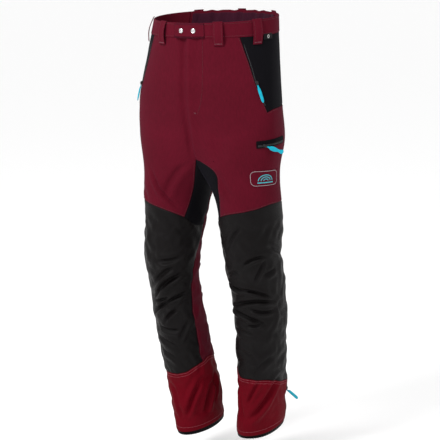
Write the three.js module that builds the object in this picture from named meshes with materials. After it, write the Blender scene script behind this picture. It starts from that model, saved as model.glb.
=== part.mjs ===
// Forestry work trousers with saw protection, shown as worn: lower legs set back, left leg behind.
// Millimetres, +Z up, front of the garment towards -Y, wearer's left towards +X.
// The origin is the centre of the waist, halfway down the waistband at the side.
import * as THREE from 'three';

// ---------------------------------------------------------------- driving dimensions
const RISE = 410;               // waistband top to the fork of the legs
const INSEAM = 665;             // fork to hem
const HIP_GIRTH = 1020;         // round the seat
const BAND_HEIGHT = 40;         // waistband
const CLOTH = 1.8;              // thickness of a panel with its facing
const LAP_STEP = 3.6;           // each lapped layer lies this much further in
const LAP = 9;                  // how far a lapped edge runs under its neighbour
const SEAM_GAP = 0.5;           // clearance between pieces that meet edge to edge
const SHEET = 1.2;              // thickness of a single layer: pocket bags
const STAGGER = 34;             // the left leg stands this far back and the right this far forward
const TAB_REACH = 35;           // the waist tab runs this far each side of the centre front
const TAB_STAND = 3.2;          // space under the tab for the studs
const STUD_SPACING = 34;
const STUD_RADIUS = 5.8;
const LOOP_WIDTH = 24;
const LOOP_DROP = 60;           // belt loop length, down from the waistband top
const PULL_LENGTH = 42;         // rubber zip pulls
const PULL_WIDTH = 7;
const SLIDER_LENGTH = 9;
const SLIDER_WIDTH = 7.5;
const GAITER_SHOW = 8;          // how far the inner gaiter hangs below the hem

// ---------------------------------------------------------------- colours
const BURGUNDY = { color: 0x6a182a, roughness: 0.85, metalness: 0 };
const CRIMSON = { color: 0x740a1c, roughness: 0.85, metalness: 0 };
const BLACK = { color: 0x171517, roughness: 0.9, metalness: 0 };
const TEAL = { color: 0x20b8c6, roughness: 0.55, metalness: 0 };
const PAD_WHITE = { color: 0xd8d6cf, roughness: 0.95, metalness: 0 };
const STEEL = { color: 0xc2c4c6, roughness: 0.3, metalness: 0.9 };
const NYLON = { color: 0x202022, roughness: 0.6, metalness: 0 };

// ---------------------------------------------------------------- body form
// Each level: how far down, then the leg oval's half width, half depth to the front and to the
// back, its centre's distance from the middle plane, its centre's place fore and aft, and how
// much the level dips towards the front. Above the fork the two ovals overlap and are cut at the
// middle plane, so one rule shapes hips and legs. The levels are drawn for one hip girth and grow
// or shrink with it.
const DRAWN_GIRTH = 1020;
const grade = HIP_GIRTH / DRAWN_GIRTH;
const down = (share) => share * RISE;
const below = (share) => RISE + share * INSEAM;
const LEVELS = [
  // drop, half width, front, back, centre, fore-aft, dip
  [down(0), 169, 122, 115, 0, 0, 0.12],
  [down(0.23), 183, 98, 138, 0, -24, 0.06],
  [down(0.5), 197, 74, 156, 0, -47, 0],
  [down(0.72), 158, 70, 150, 41, -34, 0],
  [down(0.915), 106, 76, 114, 79, -24, 0],
  [below(0.045), 82, 87, 94, 101, -16, 0],
  [below(0.173), 75, 80, 87, 107, -18, 0],
  [below(0.323), 69, 72, 80, 110, -21, 0],
  [below(0.459), 65, 62, 77, 109, -2, 0.02],
  [below(0.624), 62, 68, 80, 101, 22, 0.06],
  [below(0.82), 56, 76, 86, 89, 48, 0.1],
  [below(1), 52, 90, 90, 78, 66, 0.12],
];
const HEM = below(1);
const FORK = RISE;
const TOP = BAND_HEIGHT / 2;

const clamp = (value, low, high) => Math.min(high, Math.max(low, value));
const mix = (a, b, t) => a + (b - a) * t;
const ease = (t) => clamp(t, 0, 1) ** 2 * (3 - 2 * clamp(t, 0, 1));
const radians = (degrees) => degrees * Math.PI / 180;
const degrees = (angle) => angle * 180 / Math.PI;

// A smooth curve through rows of [place, value...]: cubic pieces whose slopes are the average
// slopes on either side of each row.
function through(rows, place, column) {
  const last = rows.length - 1;
  let i = 0;
  while (i < last - 1 && place > rows[i + 1][0]) i += 1;
  const slope = (k) => {
    const from = rows[Math.max(k - 1, 0)];
    const to = rows[Math.min(k + 1, last)];
    return (to[column] - from[column]) / (to[0] - from[0]);
  };
  const span = rows[i + 1][0] - rows[i][0];
  const t = (place - rows[i][0]) / span;
  const from = (2 * t ** 3 - 3 * t ** 2 + 1) * rows[i][column] + (t ** 3 - 2 * t ** 2 + t) * span * slope(i);
  const to = (3 * t ** 2 - 2 * t ** 3) * rows[i + 1][column] + (t ** 3 - t ** 2) * span * slope(i + 1);
  return from + to;
}

// A point of the garment. side is 1 for the wearer's left leg and -1 for the right; angle goes
// round the leg from 0 at the outer side through 90 at the front and 180 on the inside to 270
// behind; drop is the distance down from the waistband's top; out lifts the point off the cloth.
function skin(side, angle, drop, out = 0) {
  const level = (column) => through(LEVELS, drop, column);
  const sine = Math.sin(radians(angle));
  const depth = grade * level(sine > 0 ? 2 : 3) + out;
  const forward = -depth * sine;
  const shift = side * STAGGER * ease((drop - FORK) / (0.48 * INSEAM));
  return new THREE.Vector3(
    side * (grade * level(4) + (grade * level(1) + out) * Math.cos(radians(angle))),
    grade * level(5) + shift + forward,
    TOP - drop + level(6) * forward,
  );
}

// The angle at which the oval meets the middle plane, on the front; 180 below the fork.
function middleFront(drop, out = 0) {
  const reach = grade * through(LEVELS, drop, 1) + out;
  const cosine = (SEAM_GAP / 2 - grade * through(LEVELS, drop, 4)) / reach;
  return degrees(Math.acos(clamp(cosine, -1, 1)));
}
const middleBack = (drop, out = 0) => 360 - middleFront(drop, out);

// ---------------------------------------------------------------- solids
const part = new THREE.Group();

function addMesh(name, look, geometry, parent = part) {
  const mesh = new THREE.Mesh(geometry, new THREE.MeshStandardMaterial(look));
  mesh.name = name;
  parent.add(mesh);
  return mesh;
}

// A closed geometry from corner points and faces given as lists of corner numbers.
function closedGeometry(points, faces) {
  const positions = points.flatMap((point) => [point.x, point.y, point.z]);
  const fan = (face) => face.slice(2).flatMap((_, k) => [face[0], face[k + 1], face[k + 2]]);
  const triangles = faces.flatMap(fan);
  const geometry = new THREE.BufferGeometry();
  geometry.setAttribute('position', new THREE.Float32BufferAttribute(positions, 3));
  geometry.setIndex(triangles);
  geometry.computeVertexNormals();
  return geometry;
}

// A cloth piece of even thickness. Each patch is a grid of the garment's surface between two
// angles and two drops; its edges are functions, and patches that share an edge are joined. The
// open edges of the whole piece get a wall between its outer and inner faces.
function clothGeometry(side, patches, outer, thickness) {
  const lift = typeof outer === 'number' ? () => outer : outer;
  const offset = (layer, drop) => lift(drop) - layer * thickness;
  const points = [[], []];
  const numbers = new Map();
  const quads = [];
  for (const patch of patches) {
    const place = (u, v, out) => {
      let drop = mix(patch.top(0, out), patch.bottom(0, out), v);
      let angle = 0;
      for (let pass = 0; pass < 6; pass += 1) {
        angle = mix(patch.first(drop, out), patch.last(drop, out), u);
        drop = mix(patch.top(angle, out), patch.bottom(angle, out), v);
      }
      return [angle, drop];
    };
    const number = (i, j) => {
      const [angle, drop] = place(i / patch.across, j / patch.rows, lift(0));
      const key = `${(Math.round(angle * 20) + 7200) % 7200},${Math.round(drop * 4)}`;
      if (!numbers.has(key)) {
        numbers.set(key, points[0].length);
        for (const layer of [0, 1]) {
          const spot = place(i / patch.across, j / patch.rows, offset(layer, drop));
          points[layer].push(skin(side, spot[0], spot[1], offset(layer, drop)));
        }
      }
      return numbers.get(key);
    };
    for (let j = 0; j < patch.rows; j += 1) {
      for (let i = 0; i < patch.across; i += 1) {
        const quad = [number(i, j), number(i, j + 1), number(i + 1, j + 1), number(i + 1, j)];
        const corners = quad.filter((corner, k) => corner !== quad[(k + 1) % 4]);
        if (corners.length > 2) quads.push(corners);
      }
    }
  }
  const count = points[0].length;
  const edges = new Map();
  for (const quad of quads) {
    quad.forEach((corner, k) => {
      const next = quad[(k + 1) % quad.length];
      edges.set(`${corner},${next}`, [corner, next]);
    });
  }
  const faces = quads.map((quad) => [...quad]);
  quads.forEach((quad) => faces.push(quad.map((corner) => corner + count).reverse()));
  for (const [from, to] of edges.values()) {
    if (!edges.has(`${to},${from}`)) faces.push([to, from, from + count, to + count]);
  }
  const turned = side > 0 ? faces.map((face) => face.reverse()) : faces;
  return closedGeometry([...points[0], ...points[1]], turned);
}

// One patch. Its edges may be numbers or functions: first and last of the drop, top and bottom
// of the angle. Patches that share an edge take the same number of steps along it.
function patch(first, last, top, bottom, across, rows) {
  const curve = (edge) => (typeof edge === 'number' ? () => edge : edge);
  return { first: curve(first), last: curve(last), top: curve(top), bottom: curve(bottom), across, rows };
}

const outerFace = (layer) => -layer * LAP_STEP;
function addPanel(name, look, side, patches, layer = 0, thickness = CLOTH) {
  return addMesh(name, look, clothGeometry(side, patches, outerFace(layer), thickness));
}

const sides = [['left', 1], ['right', -1]];
const LAP_ANGLE = 4;                        // a lapped upright edge runs this many degrees under
const curveOf = (rows) => (place) => through(rows, place, 1);

// ---------------------------------------------------------------- seam lines
const bandSeam = BAND_HEIGHT;
const sideSeam = -42;                       // behind the hip, where front and seat meet
const HIP_TIP = down(0.55);                 // the hip panel's lowest point, and its angle
const HIP_TIP_ANGLE = 14;
const hipFront = curveOf([[bandSeam, 43], [down(0.24), 36], [down(0.38), 28], [HIP_TIP, HIP_TIP_ANGLE]]);
const hipBottom = curveOf([[sideSeam, down(0.515)], [-2, down(0.53)], [HIP_TIP_ANGLE, HIP_TIP]]);
const kneeTop = curveOf([
  [-60, below(0.068)], [8, below(0.066)], [46, below(0.084)], [95, below(0.105)],
  [142, below(0.14)], [168, below(0.176)], [215, below(0.186)],
]);
const cuffTop = curveOf([
  [-60, below(0.839)], [-17, below(0.812)], [30, below(0.779)], [64, below(0.77)],
  [122, below(0.761)], [160, below(0.737)], [200, below(0.726)], [300, below(0.839)],
]);
const kneeInner = curveOf([
  [below(0.1), 200], [below(0.29), 192], [below(0.47), 170], [below(0.6), 167], [HEM, 178],
]);
const OUTER_BACK = -50;                     // outer seam of the knee panel, behind the leg's side
const GUSSET_TOP = down(0.855);
const GUSSET_BACK = 205;
const SEAT_FOOT = below(0.14);              // where the seat panel gives way to the back leg
const gussetFront = {
  left: curveOf([
    [GUSSET_TOP, 121], [down(0.9), 102], [down(0.94), 98], [down(1.02), 102], [below(0.1), 116],
  ]),
  right: curveOf([
    [GUSSET_TOP, 124], [down(0.92), 133], [down(1.04), 148], [below(0.08), 149], [below(0.14), 142],
  ]),
};

const ANKLE_ZIP_TOP = below(0.845);
const THIGH_ZIP_DROP = down(0.735);
const thighDrop = curveOf([[-30, THIGH_ZIP_DROP - 8], [-14, THIGH_ZIP_DROP - 6], [36, THIGH_ZIP_DROP + 3]]);
const HAND_PULL_LEAN = radians(17);        // the hand pulls lie along the slanting pocket edge
const THIGH_PULL_LEAN = radians(68);        // the thigh pull trails back along its zip
const ANKLE_PULL_LIFT = radians(48);        // the ankle pulls stand out from the leg

// ---------------------------------------------------------------- trouser panels
function frontPanel(name, side) {
  const inner = (drop, out) => (drop < GUSSET_TOP ? middleFront(drop, out) : gussetFront[name](drop));
  addPanel(`front_panel_${name}`, BURGUNDY, side, [
    patch(hipFront, middleFront, bandSeam + SEAM_GAP, HIP_TIP, 7, 6),
    patch(HIP_TIP_ANGLE, inner, HIP_TIP, kneeTop, 7, 11),
    patch(sideSeam, HIP_TIP_ANGLE, hipBottom, kneeTop, 8, 11),
  ]);
}

function hipPanel(name, side) {
  const front = (drop) => hipFront(drop) + LAP_ANGLE;
  const bottom = (angle) => hipBottom(angle) + LAP;
  addPanel(`hip_panel_${name}`, BLACK, side, [patch(sideSeam, front, bandSeam + SEAM_GAP, bottom, 10, 6)], 1);
}

function seatPanel(name, side) {
  const inner = (drop, out) => (drop < FORK ? middleBack(drop, out) : GUSSET_BACK);
  const gap = SEAM_GAP / 2;
  addPanel(`seat_panel_${name}`, BURGUNDY, side, [
    patch(inner, 360 + sideSeam - gap, bandSeam + SEAM_GAP, SEAT_FOOT, 9, 16),
  ]);
}

function gusset(name, side) {
  const front = (drop) => gussetFront[name](drop) - LAP_ANGLE;
  const foot = (angle) => kneeTop(angle) + LAP;
  addPanel(`crotch_gusset_${name}`, BLACK, side, [
    patch(front, middleFront, GUSSET_TOP, FORK, 5, 4),
    patch(front, 180, FORK, foot, 5, 5),
    patch(180, GUSSET_BACK + LAP_ANGLE, FORK, foot, 3, 5),
  ], 2);
}

function kneePanel(name, side) {
  const outerSeam = OUTER_BACK - LAP_ANGLE;
  const inner = (drop) => kneeInner(drop) + LAP_ANGLE;
  const top = (angle) => kneeTop(angle) - LAP;
  const foot = (angle) => cuffTop(angle) + LAP;
  addPanel(`knee_panel_${name}`, BLACK, side, [patch(outerSeam, inner, top, foot, 19, 13)], 1);
}

function backLeg(name, side) {
  const foot = (angle) => cuffTop(angle) - SEAM_GAP;
  addPanel(`back_leg_${name}`, BURGUNDY, side, [
    patch(kneeInner, 360 + OUTER_BACK, SEAT_FOOT + 3, foot, 12, 11),
  ]);
}

// The cuff is open at the outer back, where the ankle zip closes it.
const ANKLE_ANGLE = 322;
const ANKLE_OPENING = 6;
function cuff(name, side) {
  const front = ANKLE_ANGLE - 360 + ANKLE_OPENING / 2;
  const back = ANKLE_ANGLE - ANKLE_OPENING / 2;
  addPanel(`cuff_${name}`, CRIMSON, side, [patch(front, back, cuffTop, HEM, 28, 4)]);
}

function gaiter(name, side) {
  addPanel(`hem_gaiter_${name}`, BLACK, side, [patch(0, 360, below(0.9), HEM + GAITER_SHOW, 22, 2)], 2);
}

// Loose layers of saw protection hang inside the front of each leg.
const PAD_LAYER = 3.6;                      // which layer the pad is, counted inwards
const PAD_THICKNESS = 5;
const PAD_OUTER = -25;
const PAD_INNER = 158;
const PAD_MIDDLE_CLEARANCE = 14;            // degrees short of the middle plane
function sawPad(name, side) {
  const inner = (drop, out) => Math.min(PAD_INNER, middleFront(drop, out) - PAD_MIDDLE_CLEARANCE);
  addPanel(`saw_pad_${name}`, PAD_WHITE, side, [
    patch(PAD_OUTER, inner, down(0.62), below(0.8), 11, 17),
  ], PAD_LAYER, PAD_THICKNESS);
}

function handPocketBag(name, side) {
  addPanel(`hand_pocket_bag_${name}`, BLACK, side, [patch(22, 66, down(0.15), down(0.57), 4, 6)], 2, SHEET);
}

for (const [name, side] of sides) {
  frontPanel(name, side);
  hipPanel(name, side);
  seatPanel(name, side);
  gusset(name, side);
  kneePanel(name, side);
  backLeg(name, side);
  cuff(name, side);
  gaiter(name, side);
  sawPad(name, side);
  handPocketBag(name, side);
}
addPanel('thigh_pocket_bag', BLACK, 1, [patch(-18, 34, THIGH_ZIP_DROP + 8, below(0.03), 5, 4)], 1, SHEET);

// ---------------------------------------------------------------- waistband
const BAND_OUT = 1.2;                       // the band stands this much proud of the panels
const BAND_CLOTH = 3;
const BACK_REACH = 50;                      // the elastic back reaches this angle each side
const angleAcross = (x) => degrees(Math.acos(x / (grade * LEVELS[0][1])));
const addBand = (name, side, first, last, steps) => addMesh(name, BURGUNDY,
  clothGeometry(side, [patch(first, last, 0, BAND_HEIGHT, steps, 2)], BAND_OUT, BAND_CLOTH));
const bandSide = 270 + BACK_REACH - 360 + SEAM_GAP / 2;
addBand('waistband_left', 1, bandSide, angleAcross(TAB_REACH + 1), 11);
addBand('waistband_right', -1, bandSide, angleAcross(2 - TAB_REACH), 13);
addBand('waistband_back', 1, 270 - BACK_REACH, 270 + BACK_REACH, 10);
const ELASTIC_CLOTH = 1.4;
const ELASTIC_MARGIN = 6;                   // the elastic is narrower than the band by this at each edge
addMesh('waist_elastic', NYLON, clothGeometry(1,
  [patch(272 - BACK_REACH, 268 + BACK_REACH, ELASTIC_MARGIN, BAND_HEIGHT - ELASTIC_MARGIN, 10, 1)],
  BAND_OUT - BAND_CLOTH - 0.9, ELASTIC_CLOTH));

const TAB_ROOT = TAB_REACH + 11;            // where the tab is sewn to the left band
const TAB_CLOTH = 2.2;
const TAB_OUT = BAND_OUT + TAB_STAND + TAB_CLOTH - 1;   // the tab's outer face, off the cloth
const CONTACT = 0.3;                        // pieces that touch keep this gap
addMesh('waist_tab', BURGUNDY, clothGeometry(1,
  [patch(angleAcross(TAB_ROOT), angleAcross(-TAB_REACH), 0.5, BAND_HEIGHT + 1, 4, 2)], TAB_OUT, TAB_CLOTH));

// Turns a solid made along +Z so that it stands on the cloth, and moves it there.
function standOn(mesh, side, angle, drop, out) {
  const here = skin(side, angle, drop, out);
  const round = skin(side, angle + 1, drop, out).sub(skin(side, angle - 1, drop, out));
  const fall = skin(side, angle, drop + 2, out).sub(skin(side, angle, drop - 2, out));
  const normal = round.clone().cross(fall).multiplyScalar(side > 0 ? -1 : 1).normalize();
  if (normal.dot(skin(side, angle, drop, out + 5).sub(here)) < 0) normal.negate();
  const up = fall.negate().normalize();
  const across = up.clone().cross(normal).normalize();
  mesh.matrixAutoUpdate = false;
  mesh.matrix.makeBasis(across, up, normal).setPosition(here);
  return mesh;
}

const disc = (radius, profile) => new THREE.LatheGeometry(
  profile.map(([share, height]) => new THREE.Vector2(share * radius, height)), 24).rotateX(Math.PI / 2);
const CAP_PROFILE = [[0, 0], [1, 0], [1, 0.7], [0.85, 1.5], [0.5, 2], [0, 2.1]];
const STUD_PROFILE = [[0, 0], [0.8, 0], [0.8, 0.5], [0.45, 0.7], [0.45, 1.1], [0, 1.1]];
const STUD_CENTRE = 3;
[-1, 1].forEach((place, index) => {
  const x = STUD_CENTRE + place * STUD_SPACING / 2;
  const cap = addMesh(`snap_cap_${index + 1}`, STEEL, disc(STUD_RADIUS, CAP_PROFILE));
  standOn(cap, 1, angleAcross(x), BAND_HEIGHT / 2, TAB_OUT + CONTACT);
  const stud = addMesh(`snap_stud_${index + 1}`, STEEL, disc(STUD_RADIUS, STUD_PROFILE));
  standOn(stud, 1, angleAcross(x), BAND_HEIGHT / 2, BAND_OUT + CONTACT);
});

// Belt loops: flat strips that touch the band at both ends and stand off it between them.
const LOOP_CLOTH = 1.6;
const LOOP_LIFT = 6;                        // room for a belt at the middle of a loop
const LOOP_START = -3;                      // the loops rise this far above the band's top
const LOOP_ANGLES = { front: 62, side: 25, back: -48 };
function beltLoop(name, side, angle) {
  const pace = skin(side, angle + 0.5, 0).distanceTo(skin(side, angle - 0.5, 0));
  const half = LOOP_WIDTH / 2 / pace;
  const arch = (drop) => Math.sin(Math.PI * clamp((drop - LOOP_START) / (LOOP_DROP - LOOP_START), 0, 1));
  const lift = (drop) => BAND_OUT + 0.5 + LOOP_CLOTH + LOOP_LIFT * arch(drop);
  addMesh(name, BURGUNDY, clothGeometry(side,
    [patch(angle - half, angle + half, LOOP_START, LOOP_DROP, 2, 8)], lift, LOOP_CLOTH));
}
for (const [name, side] of sides) {
  for (const [place, angle] of Object.entries(LOOP_ANGLES)) {
    beltLoop(`belt_loop_${place}_${name}`, side, angle);
  }
}
beltLoop('belt_loop_centre_back', 1, 270);

const TRIM = 0.8;                           // thickness of a sewn-on label or badge
const TRIM_OUT = TRIM + 0.4;                // its outer face, off what it is sewn to
const LABEL_HEIGHT = 13;
const LABEL_OVERLAP = 3;                    // the label is sewn over the band's lower edge by this
addMesh('hip_label', BLACK, clothGeometry(1,
  [patch(4, 17, BAND_HEIGHT - LABEL_OVERLAP, BAND_HEIGHT - LABEL_OVERLAP + LABEL_HEIGHT, 2, 1)],
  BAND_OUT + TRIM_OUT, TRIM));

// ---------------------------------------------------------------- zips
// A block with rounded ends, lying flat: length along Y, width along X, height along +Z.
function roundedBlock(length, width, height, foot = 0) {
  const radius = width / 2;
  const run = Math.max(length / 2 - radius, 0.1);
  const shape = new THREE.Shape();
  shape.absarc(0, run, radius, 0, Math.PI);
  shape.absarc(0, -run, radius, Math.PI, 2 * Math.PI);
  shape.closePath();
  const settings = { depth: height, bevelEnabled: false, curveSegments: 6 };
  return new THREE.ExtrudeGeometry(shape, settings).translate(0, 0, foot);
}

// Slider and pull of one zip: the slider stands on the teeth, and the pull hangs from its lower
// end. lean turns both round the slider's upright, and lift raises the pull off the cloth.
const SLIDER_HEIGHT = 3.4;
const PULL_HEIGHT = 2.2;
const PULL_GAP = 2.6;                       // from the slider's end to the pull, bridged by its eye
function sliderAndPull(name, side, angle, drop, out, lean, lift = 0) {
  const slider = roundedBlock(SLIDER_LENGTH, SLIDER_WIDTH, SLIDER_HEIGHT);
  slider.rotateZ(lean);
  standOn(addMesh(`${name}_slider`, STEEL, slider), side, angle, drop, out);
  const pull = roundedBlock(PULL_LENGTH, PULL_WIDTH, PULL_HEIGHT);
  pull.translate(0, -PULL_LENGTH / 2, 0).rotateX(-lift);
  pull.translate(0, -SLIDER_LENGTH / 2 - PULL_GAP, 0.4).rotateZ(lean);
  standOn(addMesh(`${name}_pull`, TEAL, pull), side, angle, drop, out);
}

const ZIP_CLOTH = 1.4;
const ZIP_OUT = -0.8;                       // the face of a set-in zip, off the cloth
const ZIP_ANGLE = 3.6;
const ZIP_EDGE = 0.6;                       // degrees from a zip's edge to the cloth beside it
const HAND_SLIDER_DROP = { left: down(0.375), right: down(0.41) };
for (const [name, side] of sides) {
  const back = (drop) => hipFront(drop) - ZIP_ANGLE;
  const front = (drop) => hipFront(drop) - ZIP_EDGE;
  addMesh(`hand_zip_${name}`, NYLON, clothGeometry(side,
    [patch(back, front, down(0.14), down(0.51), 1, 7)], ZIP_OUT, ZIP_CLOTH));
  const drop = HAND_SLIDER_DROP[name];
  sliderAndPull(`hand_${name}`, side, hipFront(drop) - ZIP_ANGLE / 2, drop, 1.2, side * HAND_PULL_LEAN);

  const ankleFront = ANKLE_ANGLE + ANKLE_OPENING / 2 - ZIP_EDGE;
  const ankleBack = ANKLE_ANGLE - ANKLE_OPENING / 2 + ZIP_EDGE;
  addMesh(`ankle_zip_${name}`, NYLON, clothGeometry(side,
    [patch(ankleBack, ankleFront, ANKLE_ZIP_TOP, HEM - 2, 1, 4)], ZIP_OUT, ZIP_CLOTH));
  sliderAndPull(`ankle_${name}`, side, ANKLE_ANGLE, ANKLE_ZIP_TOP + 14, 0.8, 0, ANKLE_PULL_LIFT);
}

// ---------------------------------------------------------------- thigh pocket, left leg only
const WELT_HEIGHT = 18;
const WELT_CLOTH = 1.6;
const WELT_OUT = WELT_CLOTH + 0.5;          // the welt's outer face, off the leg
const THIGH_TEETH = 5;                      // width of the zip that shows on the welt
const THIGH_SLIDER_ANGLE = 25;
const alongWelt = (offset) => (angle) => thighDrop(angle) + offset;
addMesh('thigh_welt', BLACK, clothGeometry(1,
  [patch(-15, 36, alongWelt(-WELT_HEIGHT / 2), alongWelt(WELT_HEIGHT / 2), 7, 1)], WELT_OUT, WELT_CLOTH));
addMesh('thigh_zip', NYLON, clothGeometry(1,
  [patch(-13, 34, alongWelt(1), alongWelt(1 + THIGH_TEETH), 7, 1)], WELT_OUT + 1.3, 0.9));
const thighSliderDrop = thighDrop(THIGH_SLIDER_ANGLE) + 1 + THIGH_TEETH / 2;
sliderAndPull('thigh', 1, THIGH_SLIDER_ANGLE, thighSliderDrop, WELT_OUT + 2.1, THIGH_PULL_LEAN);

addMesh('leg_patch', BURGUNDY, clothGeometry(1,
  [patch(-14, 47, down(0.898), down(0.993), 8, 2)], TRIM_OUT, TRIM));

// ---------------------------------------------------------------- fly
// The zip runs straight down behind the front edges, which touch at the middle plane.
const FLY_TOP = bandSeam + 8;
const FLY_LENGTH = 158;
const flyDrops = [0, 0.25, 0.5, 0.75, 1].map((share) => FLY_TOP + share * FLY_LENGTH);
const flyPlane = Math.max(...flyDrops.map((drop) => skin(1, 90, drop, -CLOTH).y)) + 1;
const flyDip = skin(1, 90, FLY_TOP).z - (TOP - FLY_TOP);
function flyPiece(name, look, size, drop, behind, x = 0) {
  const [width, thickness, length] = size;
  const mesh = addMesh(name, look, new THREE.BoxGeometry(width, thickness, length));
  mesh.position.set(x, flyPlane + behind + thickness / 2, TOP - drop - length / 2 + flyDip);
}
flyPiece('fly_pull', STEEL, [5, 1.2, 20], FLY_TOP + 10, 0.6);
flyPiece('fly_slider', STEEL, [8, 3, 11], FLY_TOP + 3, 2.2);
flyPiece('fly_zip', NYLON, [26, 1.4, FLY_LENGTH], FLY_TOP, 5.6);
flyPiece('fly_shield', BURGUNDY, [50, 1.6, FLY_LENGTH + 6], FLY_TOP, 7.6, 8);

export default part;
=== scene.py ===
# %% [markdown]
# # Saw protection trousers
# Forestry workers wear these against a running chain saw. Loose fibres hang inside the fronts, and the
# outside is stretch cloth in several colours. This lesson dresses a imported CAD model: the CAD holds sizes,
# places and joints, and each cell here makes one finished piece around it, as a surface worked out with
# numpy.

# %% Load the frame
import math

import bpy
import numpy as np
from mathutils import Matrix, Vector


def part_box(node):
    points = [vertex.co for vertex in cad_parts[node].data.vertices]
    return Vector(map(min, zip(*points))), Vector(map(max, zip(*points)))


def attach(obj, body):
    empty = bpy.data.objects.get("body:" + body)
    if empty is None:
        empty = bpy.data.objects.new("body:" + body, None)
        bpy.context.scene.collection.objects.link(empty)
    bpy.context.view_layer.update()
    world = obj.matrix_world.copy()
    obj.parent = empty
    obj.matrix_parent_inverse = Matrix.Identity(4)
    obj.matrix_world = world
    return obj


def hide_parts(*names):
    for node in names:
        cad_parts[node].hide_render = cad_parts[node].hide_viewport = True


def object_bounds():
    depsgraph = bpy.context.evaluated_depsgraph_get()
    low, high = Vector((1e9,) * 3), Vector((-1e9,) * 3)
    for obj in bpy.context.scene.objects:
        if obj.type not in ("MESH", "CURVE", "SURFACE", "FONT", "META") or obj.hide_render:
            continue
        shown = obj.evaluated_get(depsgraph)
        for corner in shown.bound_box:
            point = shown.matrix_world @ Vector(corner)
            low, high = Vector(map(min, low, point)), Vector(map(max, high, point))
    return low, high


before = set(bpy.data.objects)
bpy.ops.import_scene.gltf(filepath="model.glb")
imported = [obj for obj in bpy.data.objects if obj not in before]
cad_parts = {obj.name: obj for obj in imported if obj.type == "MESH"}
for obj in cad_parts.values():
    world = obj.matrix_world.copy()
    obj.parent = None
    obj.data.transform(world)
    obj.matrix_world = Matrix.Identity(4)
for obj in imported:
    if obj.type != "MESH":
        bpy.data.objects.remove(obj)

cad_low, cad_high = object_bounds()
print("CAD box, mm:", [round(1000 * x) for x in (*cad_low, *cad_high)])

# %% [markdown]
# ## Measures
# A trouser pattern starts from a rise (waist to fork), an inside leg and a hip girth. Everything else is
# placed on the cloth by two numbers, as a tailor does: how far down from the top of the waistband (the
# drop, in millimetres) and how far round the leg (the angle, in degrees: 0 outer side, 90 front, 180
# inside, 270 behind).

# %% Driving sizes, in millimetres
MM = 0.001
RISE = 410.0
INSEAM = 665.0
BAND = 40.0
CLOTH = 1.1
LAP = 8.0
SINK = 1.9
STAGGER = 34.0
TOP = BAND / 2
FORK = RISE
HEM = RISE + INSEAM
# STEP is the mesh's spacing, STITCH_IN how far stitches lie from a band's edge, and MEAN_RADIUS a leg's.
STEP = 2.8
STITCH_IN = 4.0
MEAN_RADIUS = 85.0
SIDES = {"left": 1, "right": -1}
chance = np.random.default_rng(7)


def down(share):
    """A drop given as a share of the rise."""
    return share * RISE


def below(share):
    """A drop given as a share of the inside leg, from the fork."""
    return RISE + share * INSEAM


print("outside leg", HEM, "mm; grid step", STEP, "mm")

# %% [markdown]
# ## The form of the garment
# With nobody inside, the cloth still keeps the form of hips and legs. Each level is an oval: half width,
# half depth to the front and to the back, the centre's distance from the middle, its place fore and aft,
# and how much the level dips to the front. Smooth curves join the levels. A sculpt would do as well, but a
# rule can be asked for any point.

# %% Levels and the smooth surface through them
LEVELS = np.array([
    # drop, half width, front, back, centre, fore-aft, dip
    [down(0), 169, 122, 115, 0, 0, 0.12],
    [down(0.23), 183, 98, 138, 0, -24, 0.06],
    [down(0.5), 197, 74, 156, 0, -47, 0],
    [down(0.72), 158, 70, 150, 41, -34, 0],
    [down(0.915), 106, 76, 114, 79, -24, 0],
    [below(0.045), 82, 87, 94, 101, -16, 0],
    [below(0.173), 75, 80, 87, 107, -18, 0],
    [below(0.323), 69, 72, 80, 110, -21, 0],
    [below(0.459), 65, 62, 77, 109, -2, 0.02],
    [below(0.624), 62, 68, 80, 101, 22, 0.06],
    [below(0.82), 56, 76, 86, 89, 48, 0.1],
    [below(1), 52, 90, 90, 78, 66, 0.12],
])


def through(rows, place, column=1):
    """A smooth curve through rows of (place, value...): cubic pieces whose slope at a row is the mean slope
    of its neighbours."""
    rows = np.asarray(rows, float)
    at, values = rows[:, 0], rows[:, column]
    before = np.maximum(np.arange(len(at)) - 1, 0)
    after = np.minimum(np.arange(len(at)) + 1, len(at) - 1)
    slopes = (values[after] - values[before]) / (at[after] - at[before])
    i = np.clip(np.searchsorted(at, place) - 1, 0, len(at) - 2)
    span = at[i + 1] - at[i]
    t = (place - at[i]) / span
    start = (2 * t**3 - 3 * t**2 + 1) * values[i] + (t**3 - 2 * t**2 + t) * span * slopes[i]
    return start + (3 * t**2 - 2 * t**3) * values[i + 1] + (t**3 - t**2) * span * slopes[i + 1]


def smooth(t):
    """0 before 0, 1 after 1, and an S-curve between."""
    t = np.clip(t, 0, 1)
    return t * t * (3 - 2 * t)


def hump(x, width):
    """A round hump, 1 high at x = 0: e to the power of minus x / width squared."""
    return np.exp(-((x / width) ** 2))


def skin(side, angle, drop, out=0.0):
    """The garment's plain surface: an oval at each drop, moved out by out, half of it in front deeper or
    shallower than the half behind. side is 1 for the wearer's left leg and -1 for the right."""
    turn = np.radians(angle)
    wide, front, back, centre, foreaft, dip = (through(LEVELS, drop, k) for k in range(1, 7))
    forward = -(np.where(np.sin(turn) > 0, front, back) + out) * np.sin(turn)
    x = side * (centre + (wide + out) * np.cos(turn))
    y = foreaft + side * STAGGER * smooth((drop - FORK) / (0.48 * INSEAM)) + forward
    return np.stack(np.broadcast_arrays(x, y, TOP - drop + dip * forward), -1)


def middle_front(drop):
    """The angle at which the oval meets the middle plane in front; 180 below the fork."""
    cosine = -through(LEVELS, drop, 4) / through(LEVELS, drop, 1)
    return np.degrees(np.arccos(np.clip(cosine, -1, 1)))


print("cuff, lowest point here and in the frame, mm:",
      round(float(skin(1, np.arange(360.0), HEM)[:, 2].min()), 1), round(1000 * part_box("cuff_left")[0].z, 1))

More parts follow.
